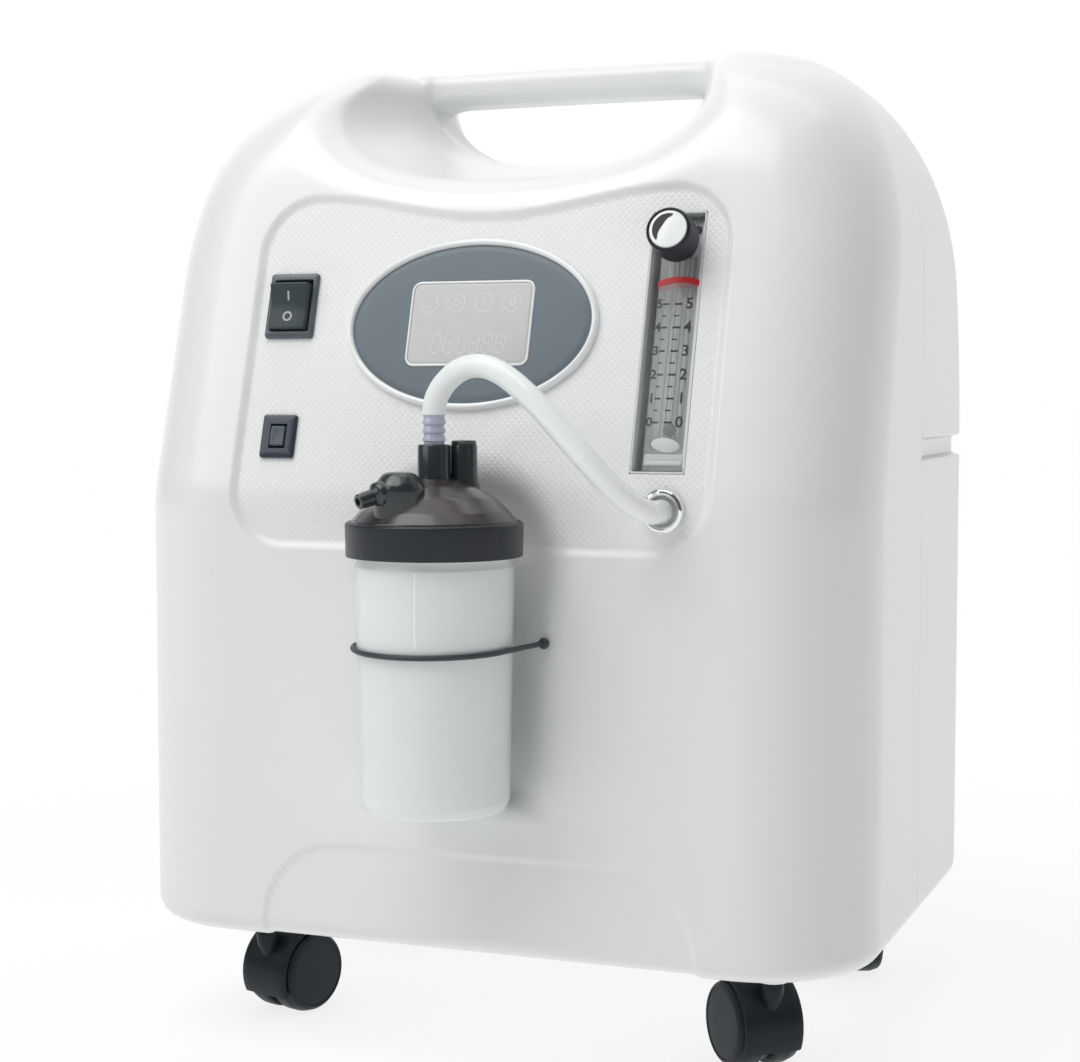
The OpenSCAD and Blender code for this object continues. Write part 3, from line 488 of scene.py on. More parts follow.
def thick_skin(name, bm, field, wall, layer):
    """A closed wall from an open sheet, with exact normals from the field on its outer and inner sides."""
    bm.verts.ensure_lookup_table()
    bm.verts.index_update()
    outer = np.array([v.co for v in bm.verts])
    outer_faces = [[v.index for v in f.verts] for f in bm.faces]
    rim = [(e.link_loops[0].vert.index, e.link_loops[0].link_loop_next.vert.index)
           for e in bm.edges if len(e.link_loops) == 1]
    normal = gradient(field, outer)
    normal /= np.maximum(np.linalg.norm(normal, axis=1), 1e-9)[:, None]
    inner = outer - normal * wall
    n = len(outer)
    faces = outer_faces + [[i + n for i in reversed(f)] for f in outer_faces]
    faces += [[b, a, a + n, b + n] for a, b in rim]
    points = np.concatenate([outer, inner])
    mesh = bpy.data.meshes.new(name)
    mesh.from_pydata([at(*p) for p in points], [], faces)
    mesh.update()
    custom = []
    count = len(outer_faces)
    for poly in mesh.polygons:
        sign = 1 if poly.index < count else -1
        skinned = poly.index < 2 * count
        custom += [tuple(sign * normal[v % n] if skinned else poly.normal) for v in poly.vertices]
    mesh.polygons.foreach_set("use_smooth", [True] * len(mesh.polygons))
    mesh.normals_split_custom_set(custom)
    mesh.attributes.new("panel", "FLOAT", "POINT").data.foreach_set("value", layer(points).astype(np.float32))
    return mesh


def sheet_of(field, xs, ys, zs):
    points, quads = surface_net(field, xs, ys, zs)
    points = settle(field, points)
    bm = bmesh.new()
    verts = [bm.verts.new(p) for p in points]
    for q in quads:
        bm.faces.new([verts[i] for i in q])
    return bm


def panel_frame(x, z):
    """Frame of a control on the leaning panel, in design millimetres: +Z out of it, +Y up the slope."""
    y = (z - LEAN_Z) * math.tan(LEAN) + RECESS / math.cos(LEAN)
    return shift(x, y, z) @ turn(90 - LEAN_DEG, "X")


def front_frame(x, z, y=0.0):
    return shift(x, y, z) @ turn(90, "X")


def rear_frame(x, z):
    return shift(x, BODY_D, z) @ turn(-90, "X")


ROCKER_AT, BREAKER_AT, DISPLAY_AT, METER_AT = (-94.5, 344.3), (-93.0, 284.7), (-4.2, 335.0), (88.6, 326.8)
OUTLET_AT = (93.0, 255.0)
DOOR_W, DOOR_H, DOOR_Z = 110.0, 72.0, 188.0
INLET_AT, FAN_Z = (-110.0, 96.0), 118.0
SEAM_GAP = 0.12


def make_shell(half, lines, side, windows, layer):
    """One half of the cabinet, cut at the parting line, with its exact windows; side is 1 in front."""
    bm = sheet_of(shell_field, *lines)
    bmesh.ops.bisect_plane(bm, geom=bm.verts[:] + bm.edges[:] + bm.faces[:], clear_outer=True,
                           plane_co=(0, SEAM_Y - side * SEAM_GAP, 0), plane_no=(0, side, 0), dist=1e-5)
    for window in windows:
        cut_window(bm, *window)
    mesh = thick_skin(f"{half}_skin", bm, shell_field, WALL, layer)
    bm.free()
    add_piece(f"{half}_skin", mesh, ROOT, [SHELL], [half])


def make_front_shell():
    xs = lines_of((-181, -121, 4), (-121, -95, 1.3), (-95, -50, 2.1), (-50, 50, 2.2), (50, 104, 2.1),
                  (104, 121, 1.3), (121, 181, 4))
    ys = lines_of((-4, 12, 2), (12, 142, 3.6))
    zs = lines_of((51, 66, 2), (66, 98, 2.2), (98, 105, 1.2), (105, 122, 3.5), (122, 136, 2),
                  (136, 228, 3.5), (228, 241, 1.3), (241, 382, 2.7), (382, 401, 1.3), (401, 469, 2.2))
    windows = [(panel_frame(*place), u, v) for place, u, v in (
        (ROCKER_AT, 11.2, 14.2), (BREAKER_AT, 8.2, 9.2), (METER_AT, 12.4, 58.8), (DISPLAY_AT, 26.5, 17.5))]
    make_shell("front_shell", (xs, ys, zs), 1, windows,
               lambda p: step(0, 1, panel_share(p[:, 0], p[:, 1], p[:, 2]) * 4 - 3))


def make_rear_shell():
    lines = (lines_of((-181, 181, 3.4)), lines_of((128, 240, 3.6), (240, 275, 2.4)),
             lines_of((51, 66, 2), (66, 270, 3.8), (270, 287, 1.0), (287, 469, 2.6)))
    windows = [(rear_frame(0, DOOR_Z + DOOR_H / 2 - 1), DOOR_W / 2 + 0.5, DOOR_H / 2 + 1.5),
               (rear_frame(*INLET_AT), 15, 12)]
    windows += [(rear_frame(0, FAN_Z - 35 + 10 * i), 42 - 0.8 * (i - 3.5) ** 2, 1.75) for i in range(8)]
    make_shell("rear_shell", lines, -1, windows, lambda p: np.zeros(len(p)))


# ---------- cords ----------


def make_cord(name, kind, diameter, rounds, places, mat, replaced):
    """A round cord of one open spline through places in the design frame."""
    curve = bpy.data.curves.new(name, "CURVE")
    curve.dimensions, curve.use_fill_caps = "3D", True
    curve.bevel_depth, curve.bevel_resolution = diameter / 2 * MM, rounds
    spline = curve.splines.new(kind)
    spline.points.add(len(places) - 1)
    for point, place in zip(spline.points, places):
        point.co = (*at(*place), 1.0)
    if kind == "NURBS":  # set before the object is linked, or its bounds come out wrong
        curve.resolution_u, spline.use_endpoint_u, spline.order_u = 6, True, 3
    curve.materials.append(mat)
    obj = bpy.data.objects.new(name, curve)
    bpy.context.scene.collection.objects.link(obj)
    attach(obj, ROOT)
    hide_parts(replaced)
    return obj


def make_hose():
    obj = make_cord("oxygen_hose_tube", "NURBS", HOSE_D, 8, HOSE_ROUTE, HOSE, "oxygen_hose")


# ---------- lofts, lathes and marks ----------


def fillet(points, closed=True, steps=6):
    """Rounds the corners of a flat outline; a point may be (x, y) or (x, y, radius)."""
    made, n = [], len(points)
    for i, point in enumerate(points):
        here = Vector(point[:2])
        if len(point) < 3 or (not closed and i in (0, n - 1)):
            made.append(here)
            continue
        a = (Vector(points[i - 1][:2]) - here).normalized()
        b = (Vector(points[(i + 1) % n][:2]) - here).normalized()
        reach = point[2] / math.tan(a.angle(b) / 2)
        for k in range(steps + 1):
            t = k / steps
            made.append(here + a * reach * (1 - t) ** 2 + b * reach * t ** 2)
    return made


def rounded_outline(w, h, r, steps=8):
    """A function that gives a rounded rectangle drawn inwards by d."""

    def ring(d):
        q = max(r - d, 0.05)
        made = []
        for n, (u, v) in enumerate(((1, 1), (-1, 1), (-1, -1), (1, -1))):
            for k in range(steps + 1):
                t = math.pi / 2 * (n + k / steps)
                made.append((u * (w / 2 - d - q) + q * math.cos(t), v * (h / 2 - d - q) + q * math.sin(t)))
        return made

    return ring


def oval_outline(a, b, steps=96):
    turns = [2 * math.pi * k / steps for k in range(steps)]
    return lambda d: [((a - d) * math.cos(t), (b - d) * math.sin(t)) for t in turns]


def skin(rings, closed=False):
    """Points and faces through equal rings; an open run gets end caps."""
    n = len(rings[0])
    points = [p for ring in rings for p in ring]
    spans = len(rings) if closed else len(rings) - 1
    faces = []
    for i in range(spans):
        a, b = i * n, (i + 1) % len(rings) * n
        faces += [(a + j, a + (j + 1) % n, b + (j + 1) % n, b + j) for j in range(n)]
    if not closed:
        faces += [tuple(reversed(range(n))), tuple(range((len(rings) - 1) * n, len(rings) * n))]
    return points, faces


def rings_of(outline, sections):
    return [[(x, y, z) for x, y in outline(d)] for d, z in sections]


def loft(outline, sections, closed=False):
    """A skin through copies of an outline; each section is (inset, height)."""
    return skin(rings_of(outline, sections), closed)


def lathe(profile, segments=96, closed=False, flutes=0, flute_depth=0.0):
    """Turns a profile of (radius, height) round Z; a closed profile makes a ring with a bore."""
    turns = [2 * math.pi * k / segments for k in range(segments)]

    def radius(r, t):
        return r - flute_depth * (0.5 - 0.5 * math.cos(flutes * t)) if r > 9.0 else r

    return skin([[(radius(r, t) * math.cos(t), radius(r, t) * math.sin(t), z) for t in turns]
                 for r, z in profile], closed)


def slab(points, z0, z1):
    """A straight prism on a flat outline."""
    return skin([[(x, y, z0) for x, y in points], [(x, y, z1) for x, y in points]])


def brick(x0, x1, y0, y1, z0, z1):
    return slab([(x0, y0), (x1, y0), (x1, y1), (x0, y1)], z0, z1)


def moved(part, matrix):
    return [matrix @ Vector(p) for p in part[0]], part[1]


def mesh_of(name, parts, place, sharp=32.0):
    """One mesh from several parts, placed by a design-frame matrix, smooth but for its real edges."""
    points, faces = [], []
    for part_points, part_faces in parts:
        start = len(points)
        points += [at(*(place @ Vector(p))) for p in part_points]
        faces += [tuple(i + start for i in f) for f in part_faces]
    mesh = bpy.data.meshes.new(name)
    mesh.from_pydata(points, [], faces)
    bm = bmesh.new()
    bm.from_mesh(mesh)
    bmesh.ops.remove_doubles(bm, verts=bm.verts, dist=1e-6)
    bmesh.ops.recalc_face_normals(bm, faces=bm.faces)
    bm.to_mesh(mesh)
    bm.free()
    mesh.polygons.foreach_set("use_smooth", [True] * len(mesh.polygons))
    mesh.set_sharp_from_angle(angle=math.radians(sharp))
    return mesh


def make(name, parts, place, mat, replaced=(), body=ROOT, sharp=32.0):
    return add_piece(name, mesh_of(name, parts, place, sharp), body, [mat], replaced)


def glyph(text, size, x, y, z, thick=0.12):
    """A printed digit as a thin solid, with its middle at x, y."""
    curve = bpy.data.curves.new("glyph", "FONT")
    curve.body, curve.size, curve.extrude = text, size, thick / 2
    curve.align_x, curve.align_y, curve.resolution_u = "CENTER", "CENTER", 3
    curve.offset = 0.018 * size
    obj = bpy.data.objects.new("glyph", curve)
    bpy.context.scene.collection.objects.link(obj)
    bpy.context.view_layer.update()
    mesh = bpy.data.meshes.new_from_object(obj)
    points = [(v.co.x + x, v.co.y + y, v.co.z + z) for v in mesh.vertices]
    faces = [tuple(f.vertices) for f in mesh.polygons]
    bpy.data.objects.remove(obj)
    bpy.data.curves.remove(curve)
    bpy.data.meshes.remove(mesh)
    return points, faces


def band(inner, outer, start, end, z0, z1, steps=24, x=0.0, y=0.0):
    """A flat arc-shaped mark between two radii, from start to end in degrees; 360 degrees make a ring."""
    full = end - start >= 360
    section = ((inner, z0), (outer, z0), (outer, z1), (inner, z1))
    rings = []
    for k in range(steps if full else steps + 1):
        t = math.radians(start + (end - start) * k / steps)
        rings.append([(x + r * math.cos(t), y + r * math.sin(t), z) for r, z in section])
    return skin(rings, closed=full)


# ---------- display ----------


GHOST = (1.97, 2.06)


def make_display():
    place = panel_frame(*DISPLAY_AT)
    bezel = loft(oval_outline(60.3, 39.8), [
        (0, -0.6), (0, 1.5), (0.25, 2.2), (0.8, 2.8), (1.5, 3.0), (2.2, 2.8), (2.7, 2.3), (2.95, 1.6),
        (3.0, -0.6)], closed=True)
    make("display_bezel_ring", [bezel], place, GLOSS_WHITE, ["display_bezel"])
    crown = [(0.9 * k, 1.2 + 0.55 * math.sin(math.pi / 2 * k / 4)) for k in range(1, 5)]
    rings = rings_of(oval_outline(57.2, 36.7), [(0, -0.4), (0, 1.2), *crown])
    shift_by = 12  # the window's first point is at its upper right, so the oval's start is turned to it
    rings = [ring[shift_by:] + ring[:shift_by] for ring in rings]
    rings += rings_of(rounded_outline(59.6, 39.8, 4.5, steps=23), [(0, 1.8), (0, -0.4)])
    make("display_overlay", [skin(rings, closed=True)], place, SLATE, ["display_panel"])
    rim = loft(rounded_outline(59.4, 39.6, 4.4), [
        (0, 0.4), (0, 2.0), (0.3, 2.4), (0.7, 2.45), (1.1, 2.2), (1.2, 0.4)], closed=True)
    make("lcd_rim", [rim], place, GLOSS_WHITE)
    glass = loft(rounded_outline(57.2, 37.4, 3.4), [(0, 0.2), (0, 1.75), (0.35, 1.95), (1.0, 2.0)])
    back = brick(-26, 26, -17, 17, -10, 0.3)
    make("lcd_window", [glass, back], place, LCD, ["lcd_module"])
    ghost = [band(3.9, 4.6, 0, 360, *GHOST, 36, x, 9.5) for x in (-20.5, -7.5, 6.0, 19.5)]
    ghost += [band(1.4, 2.0, 200, 340, *GHOST, 14, -20.5, 9.4), brick(-23, -18, 4.2, 4.7, *GHOST),
              band(1.2, 1.9, 0, 360, *GHOST, 20, -7.5, 9.5), brick(5.7, 6.3, 7.2, 11.8, *GHOST),
              band(0.8, 1.7, 0, 360, *GHOST, 20, 19.5, 9.5), band(2.4, 2.9, 20, 160, *GHOST, 14, 19.5, 9.3)]
    for k in range(6):
        ghost += seven_segments(-15.0 + 6.1 * k, -9.5)
    make("lcd_ghost_segments", ghost, place, LCD_GHOST)


def seven_segments(x, y, w=4.2, h=8.4, t=0.75):
    """All seven bars of one unlit digit, slanted a little, with its middle at x, y."""
    lean = 0.12
    bars = [(-w / 2 + 0.5, w / 2 - 0.5, v - t / 2, v + t / 2) for v in (-h / 2, 0, h / 2)]
    for u in (-w / 2, w / 2):
        bars += [(u - t / 2, u + t / 2, low, low + h / 2 - 0.9) for low in (-h / 2 + 0.5, 0.4)]
    return [slab([(x + u + lean * v, y + v) for u, v in ((a, c), (b, c), (b, d), (a, d))], *GHOST)
            for a, b, c, d in bars]


# ---------- rocker switch and breaker ----------

ROCKER_THROW = 16.0


def make_switch():
    place = panel_frame(*ROCKER_AT)
    rings = rings_of(rounded_outline(24.4, 31, 1.6, 6), [
        (1.6, -10), (1.4, -0.4), (0, -0.4), (0, 1.3), (0.25, 1.75), (0.8, 2.0)])
    rings += rings_of(rounded_outline(19.6, 24.4, 0.7, 6), [(-0.3, 2.0), (0, 1.7), (0.1, 1.1), (0.1, -8.5)])
    block = brick(-11, 11, -14, 14, -24, -8.6)
    make("switch_frame", [skin(rings), block], place, SWITCH, ["switch_housing"])
    profile = fillet([(-11, 4.2, 0.5), (-10.7, 9.3, 0.9), (0, 7.3, 20), (10.7, 9.3, 0.9), (11, 4.2, 0.5),
                      (8, -1), (2, -2), (-2, -2), (-8, -1)])
    paddle = skin([[(x, v * (1 - inset / 12), w - inset * 0.6) for v, w in profile] for x, inset in (
        (-9.3, 0.7), (-9.1, 0.25), (-8.6, 0.0), (8.6, 0.0), (9.1, 0.25), (9.3, 0.7))])
    tilt = shift(z=-3) @ turn(ROCKER_THROW / 2, "X")
    pin = moved(lathe([(0.02, -10.4), (1, -10.4), (1, 10.4), (0.02, 10.4)], 24), shift(z=-3) @ turn(90, "Y"))
    make("rocker_paddle", [moved(paddle, tilt), pin], place, SWITCH_FACE,
         ["power_rocker"], body="rocker", sharp=40)
    slope = math.degrees(math.atan2(2.0, 10.7))
    bar = moved(slab(rounded_outline(0.9, 4.4, 0.3, 3)(0), 0.0, 0.16),
                tilt @ shift(0, 4.6, 8.12) @ turn(slope, "X"))
    ring = moved(band(1.5, 2.35, 0, 360, 0.0, 0.16, 32), tilt @ shift(0, -4.9, 8.17) @ turn(-slope, "X"))
    make("rocker_marks", [bar, ring], place, MARK_GREY, body="rocker")


def make_breaker():
    place = panel_frame(*BREAKER_AT)
    body = loft(rounded_outline(17, 20.2, 1.4), [
        (0.8, -22), (0.8, -0.4), (0, -0.4), (0, 1.2), (0.3, 1.65), (0.8, 1.8), (4.3, 1.8), (4.5, 1.65),
        (4.6, -7.5)])
    make("breaker_frame", [body], place, NAVY, ["breaker_body"])
    button = loft(rounded_outline(7.4, 9.4, 1.0), [
        (0.2, -4), (0, -3.8), (0, 1.9), (0.3, 2.3), (0.9, 2.4), (2.2, 2.1)])
    make("breaker_plunger", [button], place, NAVY_BUTTON, ["breaker_button"],
         body="reset_button")
    rails = [brick(*sides, 1.75, 1.9)
             for sides in ((-4.2, 4.2, 7.0, 7.4), (-4.2, 4.2, -7.4, -7.0), (-6.0, -5.6, -5, 6))]
    make("breaker_ribs", rails, place, NAVY_BUTTON)


# ---------- flow meter ----------

METER_SINK, METER_H, METER_W, METER_SIDE = 5.0, 113.0, 19.0, 1.1
KNOB_V, ZERO_V, SCALE_LEN = 44.0, -35.0, 53.0


def make_meter_tray(place):
    """A light lip round a well painted grey for the shade inside the recess, and the pale floor that shows
    through the clear block.
    """
    outline = rounded_outline(24.6, 117.4, 1.2)
    lip = loft(outline, [(0, -4), (0, -0.2), (0.15, 0.2), (0.5, 0.3), (0.85, 0.2), (1.0, -0.3), (1.0, -4)],
               closed=True)
    make("flowmeter_lip", [lip], place, TRAY_LIP)
    # The well's walls take the painted-shade grey
    well = loft(outline, [(0, -16), (0, -3.8), (1.05, -3.8), (1.05, -14.2), (2.0, -14.6)])
    make("flowmeter_well", [well], place, TRAY_SHADE_GREY, ["flowmeter_tray"])
    back = brick(-9.2, 9.2, -56, 56, -14.4, -14.1)
    make("flowmeter_backing", [back], place @ shift(METER_SIDE), BACKING)


def make_meter_block(sunk):
    """The clear block, painted dark lines for the shade along its bore's walls, and painted glints where its
    bore and edges catch the light.
    """
    block = loft(rounded_outline(METER_W, METER_H, 0.9, 4), [
        (0.5, -9), (0, -8.5), (0, 0.4), (0.18, 0.82), (0.6, 1.0)])
    port = lathe([(0.05, -24), (4, -24), (4, -9.2), (0.05, -9.2)], 32)
    ports = [moved(port, shift(0, v)) for v in (-45, 45)]
    make("flowmeter_acrylic", [block, *ports], sunk, ACRYLIC, ["flowmeter_block"], sharp=25)
    # Painted shade along the bore's walls
    bore_shade_lines = [brick(u - w / 2, u + w / 2, -41, 41, -4.4, -3.6)
            for u, w in ((-4.3, 0.35), (-2.2, 0.8), (0.5, 0.35), (2.5, 0.5), (4.9, 1.0))]
    make("flowmeter_bore_lines", bore_shade_lines, sunk, BORE_SHADE)
    glints = [brick(-1.5, -1.25, -40, 40, -3.4, -3.2), brick(8.4, 9.0, -55, 55, 0.95, 1.06),
              brick(3.4, 3.7, -40, 40, -3.4, -3.2)]
    make("flowmeter_glints", glints, sunk, GLINT)


def make_meter_scale(sunk):
    """Digits and ticks printed on the block's face, with a fainter set seen on its left."""
    face = 1.02
    dark, faint = [], []
    for n in range(11):
        v = ZERO_V + SCALE_LEN * n / 10
        tick, thick = (2.3, 0.3) if n % 2 else (3.4, 0.42)
        dark.append(brick(-1.2, -1.2 + tick, v - thick, v + thick, face, face + 0.1))
        faint.append(brick(-6.4, -6.4 + tick * 0.75, v - thick * 0.9, v + thick * 0.9, face, face + 0.1))
        if n % 2 == 0:
            dark.append(glyph(str(n // 2), 6.9, 5.5, v, face + 0.05))
            faint.append(glyph(str(n // 2), 5.6, -7.9, v, face + 0.05))
    screw = lathe([(0.05, face), (1.7, face), (1.9, face + 0.3), (1.6, face + 0.7), (0.9, face + 0.7),
                   (0.8, face + 0.4), (0.05, face + 0.4)], 32)
    dark.append(moved(screw, shift(6.4, 51.5)))
    make("flowmeter_scale", dark, sunk, INK, sharp=20)
    make("flowmeter_scale_left", faint, sunk, INK_FAINT, sharp=20)


def make_meter_trim(sunk):
    half = METER_W / 2 + 0.15
    arch = [(half * k / 8, -2.0 * (k / 8) ** 2) for k in range(-8, 9)]
    red = slab([(u, v - 1.4) for u, v in arch] + [(u, v + 1.4) for u, v in reversed(arch)], -6, 1.12)
    make("flowmeter_red_line", [moved(red, shift(0, 29))], sunk, RED)
    boss = lathe([(0.05, 1.0), (6.2, 1.0), (6.2, 1.3), (5.8, 1.6), (4.8, 1.7), (0.05, 1.75)], 48)
    boss = [Vector((x * 1.05, y * 0.52, z)) for x, y, z in boss[0]], boss[1]
    boss = moved(boss, shift(0.4, -45.2) @ turn(-8, "Z"))
    make("flowmeter_boss", [boss], sunk, CLIP)
    socket = loft(rounded_outline(17.4, 5.0, 0.8, 4), [(0, 0.9), (0, 1.15), (0.5, 1.25)])
    make("flowmeter_socket", [moved(socket, shift(0, -51.6))], sunk, TRAY_SHADE_GREY)
    clip = loft(rounded_outline(16.5, 2.0, 0.8, 4), [(0, 1.1), (0, 1.5), (0.3, 1.8), (0.8, 1.9)])
    make("flowmeter_clip", [moved(clip, shift(0.2, -53.2))], sunk, CLIP)


def make_flow_knob(place):
    """The fluted knob, its pale cap and the dark crescent on the cap."""
    barrel = lathe([(0.05, 1.5), (8.6, 1.5), (9.2, 2.2), (9.9, 4.2), (10.0, 5.0), (10.0, 17.2), (9.8, 18.2),
                    (9.3, 18.85), (8.9, 19.0), (8.6, 18.7), (8.5, 17.9), (0.05, 17.9)], 144,
                   flutes=36, flute_depth=0.14)
    neck = lathe([(0.05, -10.5), (2, -10.5), (2, -5), (6.4, -4.0), (6.4, 1.6), (0.05, 1.6)], 48)
    make("flow_knob_barrel", [barrel, neck], place, KNOB, ["flowmeter_knob"],
         body="flow_knob", sharp=30)
    cap = lathe([(8.45, 17.6), (8.45, 18.25), (8.1, 18.55), (5.0, 18.75), (0.05, 18.85)], 72)
    make("flow_knob_cap", [cap], place, KNOB_CAP, body="flow_knob")
    rim = 6.9
    outer = [(rim, 75 + 150 * k / 24) for k in range(25)]
    inner = [(rim - 4.0 * math.sin(math.pi * (k + 1) / 26) ** 0.8, 225 - 150 * k / 24) for k in range(25)]
    crescent = [(r * math.cos(math.radians(t)), r * math.sin(math.radians(t))) for r, t in outer + inner]
    make("flow_knob_mark", [slab(crescent, 18.55, 18.92)], place, INK, body="flow_knob")


def make_flow_meter():
    place = panel_frame(*METER_AT)
    make_meter_tray(place)
    place = place @ shift(METER_SIDE)
    sunk = place @ shift(z=-METER_SINK)
    make_meter_block(sunk)
    make_meter_scale(sunk)
    make_meter_trim(sunk)
    ball = lathe([(0.05, -2.95), (1.2, -2.7), (2.2, -1.95), (2.8, -0.9), (2.95, -0.25), (2.95, 0.25),
                  (2.8, 0.9), (2.2, 1.95), (1.2, 2.7), (0.05, 2.95)], 32)
    ball = moved(ball, shift(0, ZERO_V - 2, -4) @ turn(90, "X"))
    make("flowmeter_ball", [ball], sunk, FLOAT, ["flowmeter_float"], body="flow_float")
    make_flow_knob(place @ shift(0, KNOB_V))


# ---------- oxygen outlet ----------


def make_outlet():
    place = front_frame(*OUTLET_AT, RECESS)
    bush = lathe([(4.0, -14), (6.4, -14), (6.4, -0.3), (9.3, -0.3), (9.3, 2.6), (9.1, 3.3), (8.6, 3.8),
                  (7.9, 4.0), (7.2, 3.85), (6.7, 3.4), (6.4, 2.7), (6.35, -6), (4.0, -6.2)], 96, closed=True)
    make("outlet_bush", [bush], place, CHROME, ["outlet_port"], sharp=28)
    barb = lathe([(1.8, -20), (3.99, -20), (3.99, 1.6), (4.4, 2.0), (5.0, 2.3), (5.0, 6.6), (4.7, 7.0),
                  (1.8, 7.0)], 48, closed=True)
    make("outlet_hose_barb", [barb], place, NYLON, ["outlet_barb"])


# ---------- humidifier bottle ----------

JAR_R, CAP_R, BOTTLE_Z, LID_Z = 34.0, 38.0, 127.0, 235.5
STRAP_Z, STRAP_D, STUD_X = 197.0, 2.4, 40.0
TURRET_AT, RELIEF_AT = (-6.2, -22.0), (9.8, 9.0)


def bottle_frame(z, x=0.0, y=0.0):
    return shift(x, BOTTLE_Y + y, z)


def turned_ring(points):
    return lathe(fillet(points, steps=5), 128, closed=True)


def make_jar():
    """The frosted jar with its foot and thread, and a painted highlight: a bright strip down its front that
    stands for a vertical reflection.
    """
    foot, top, neck = JAR_R - 2, 240.5 - BOTTLE_Z, JAR_R - 0.9
    wall = turned_ring([
        (1.0, 4.3), (24, 3.8), (26.6, 1.0, 1.0), (28.0, 0.0, 0.8), (30.4, 0.5, 2), (foot, 4.5, 3),
        (foot + 0.2, 14), (JAR_R - 1, 54), (JAR_R - 0.1, 94), (JAR_R, top - 9, 1.2), (neck, top - 7),
        (neck, top - 4.6), (JAR_R + 1, top - 4, 0.3), (JAR_R + 1, top - 2.2, 0.3), (neck, top - 1.6),
        (neck, top), (JAR_R - 1.6, top), (JAR_R - 1.6, 94), (JAR_R - 2.6, 54), (foot - 1.4, 14),
        (foot - 1.9, 8.4, 2.5), (28, 6.2, 2), (1.0, 5.9)])
    place = bottle_frame(BOTTLE_Z)
    make("jar_wall", [wall], place, JAR, ["bottle_jar"], body="jar", sharp=28)
    # The painted highlight strip: a thin band along the jar's front, turned 10 degrees
    front = ((72, JAR_R - 0.7), (76, JAR_R - 0.5), (94, JAR_R - 0.1), (top - 9.5, JAR_R - 0.1))
    section = ((-0.6, 0.3), (-0.2, -0.12), (0.2, -0.12), (0.6, 0.3))
    highlight_strip = skin([[(x, y - r, z) for x, y in section] for z, r in front])
    make("jar_painted_highlight", [moved(highlight_strip, turn(10, "Z"))], place, PAINTED_JAR_HIGHLIGHT, body="jar")


def make_lid():
    """The lid's ribless skirt, its smoky dome, coloured lighter and browner than the skirt partly as painted
    sheen, and the posts that stand on the dome.
    """
    place = bottle_frame(LID_Z)
    dome = turned_ring([
        (35.6, 14.2), (35.2, 15.4, 1.0), (31.5, 19.6, 8), (25, 25.4, 10), (16, 30.2, 14), (7, 33.0, 10),
        (1.0, 33.3), (1.0, 27.4), (8, 27), (17, 23.5, 6), (26, 17.5, 4), (30, 12), (JAR_R - 4, 9), (35.6, 9)])
    make("lid_dome", [dome], place, LID, ["bottle_lid"], sharp=34)
    skirt = turned_ring([(35.4, 0.2, 0.4), (CAP_R - 0.3, 0, 0.6), (CAP_R, 13.9, 0.9),
                         (CAP_R - 1.2, 15.0, 0.6), (36.0, 14.5, 0.4), (35.4, 14.2)])
    make("lid_skirt", [skirt], place, LID_SKIRT, sharp=34)
    post = lathe([(3.0, 25), (8.2, 29), (7.4, 33), (7.05, 35), (7.0, 46.6), (6.6, 47.3), (6.0, 47.5),
                  (3.0, 47.5)], 64, closed=True)
    relief = lathe([(0.05, 24), (7.2, 28), (6.2, 32), (5.85, 34), (5.8, 46.6), (5.5, 47.3), (5.1, 47.5),
                    (4.9, 46.5), (0.05, 46.3)], 64)
    seat = lathe([(0.05, 10), (11.7, 12), (11.5, 16.4), (11.1, 17.1), (0.05, 17.2)], 64)
    posts = [post, moved(relief, shift(*RELIEF_AT)), moved(seat, shift(*TURRET_AT))]
    make("lid_posts", posts, place, LID_POST)


def make_bottle_fittings():
    """The relief valve's cap, the barbed hose connector and the diffuser stone."""
    valve = lathe([(0.05, 0), (4.1, 0), (4.1, 5.2), (5.3, 5.5), (5.4, 6.4), (5.1, 6.9), (3.6, 7.0),
                   (3.2, 6.6), (0.05, 6.5)], 64)
    place = bottle_frame(277.5, *RELIEF_AT)
    make("relief_valve_cap", [valve], place, LID_TOP, ["relief_valve"])
    steps = [(1.5, 0), (3.0, 0), (3.0, 20.8), (4.3, 21)]
    for z in (22.0, 25.6, 29.2):
        steps += [(4.3, z), (5.0, z + 0.4), (5.0, z + 1.3), (4.4, z + 2.8)]
    steps += [(4.7, 33.5), (1.5, 33.5)]
    barb = lathe(steps, 64, closed=True)
    make("lid_hose_barb", [barb], bottle_frame(262), BARB, ["lid_barb"])
    stone = lathe([(0.05, 0), (5.4, 0), (6.1, 0.5), (6.9, 4), (7.0, 6.3), (6.5, 7.0), (1.75, 7.2),
                   (1.75, 13), (0.05, 13)], 48)
    make("diffuser_stone", [stone], bottle_frame(136), STONE, ["diffuser"])


def make_spout():
    """The outlet turret: a rounded barrel with a flanged spout that points to the front left."""
    barrel = lathe(fillet([(0.05, 0), (10.7, 0, 0.3), (10.8, 13.5, 6), (6.5, 19.3, 5), (0.05, 19.6)],
                          closed=False), 72)
    spout = lathe([(1.6, 6), (5.6, 6), (5.6, 10.9), (5.2, 11.6), (4.4, 12.0), (3.3, 13.2), (3.2, 14.2),
                   (3.45, 14.6), (3.2, 16.4), (3.4, 16.8), (3.2, 18.6), (3.2, 20.0), (2.8, 20.5), (1.7, 20.6),
                   (1.6, 20.2)], 48, closed=True)
    out = shift(z=12.5) @ turn(-33, "Z") @ turn(104, "X")
    make("outlet_turret", [barrel, moved(spout, out)], bottle_frame(252.5, *TURRET_AT), LID_POST,
         ["outlet_nozzle"])


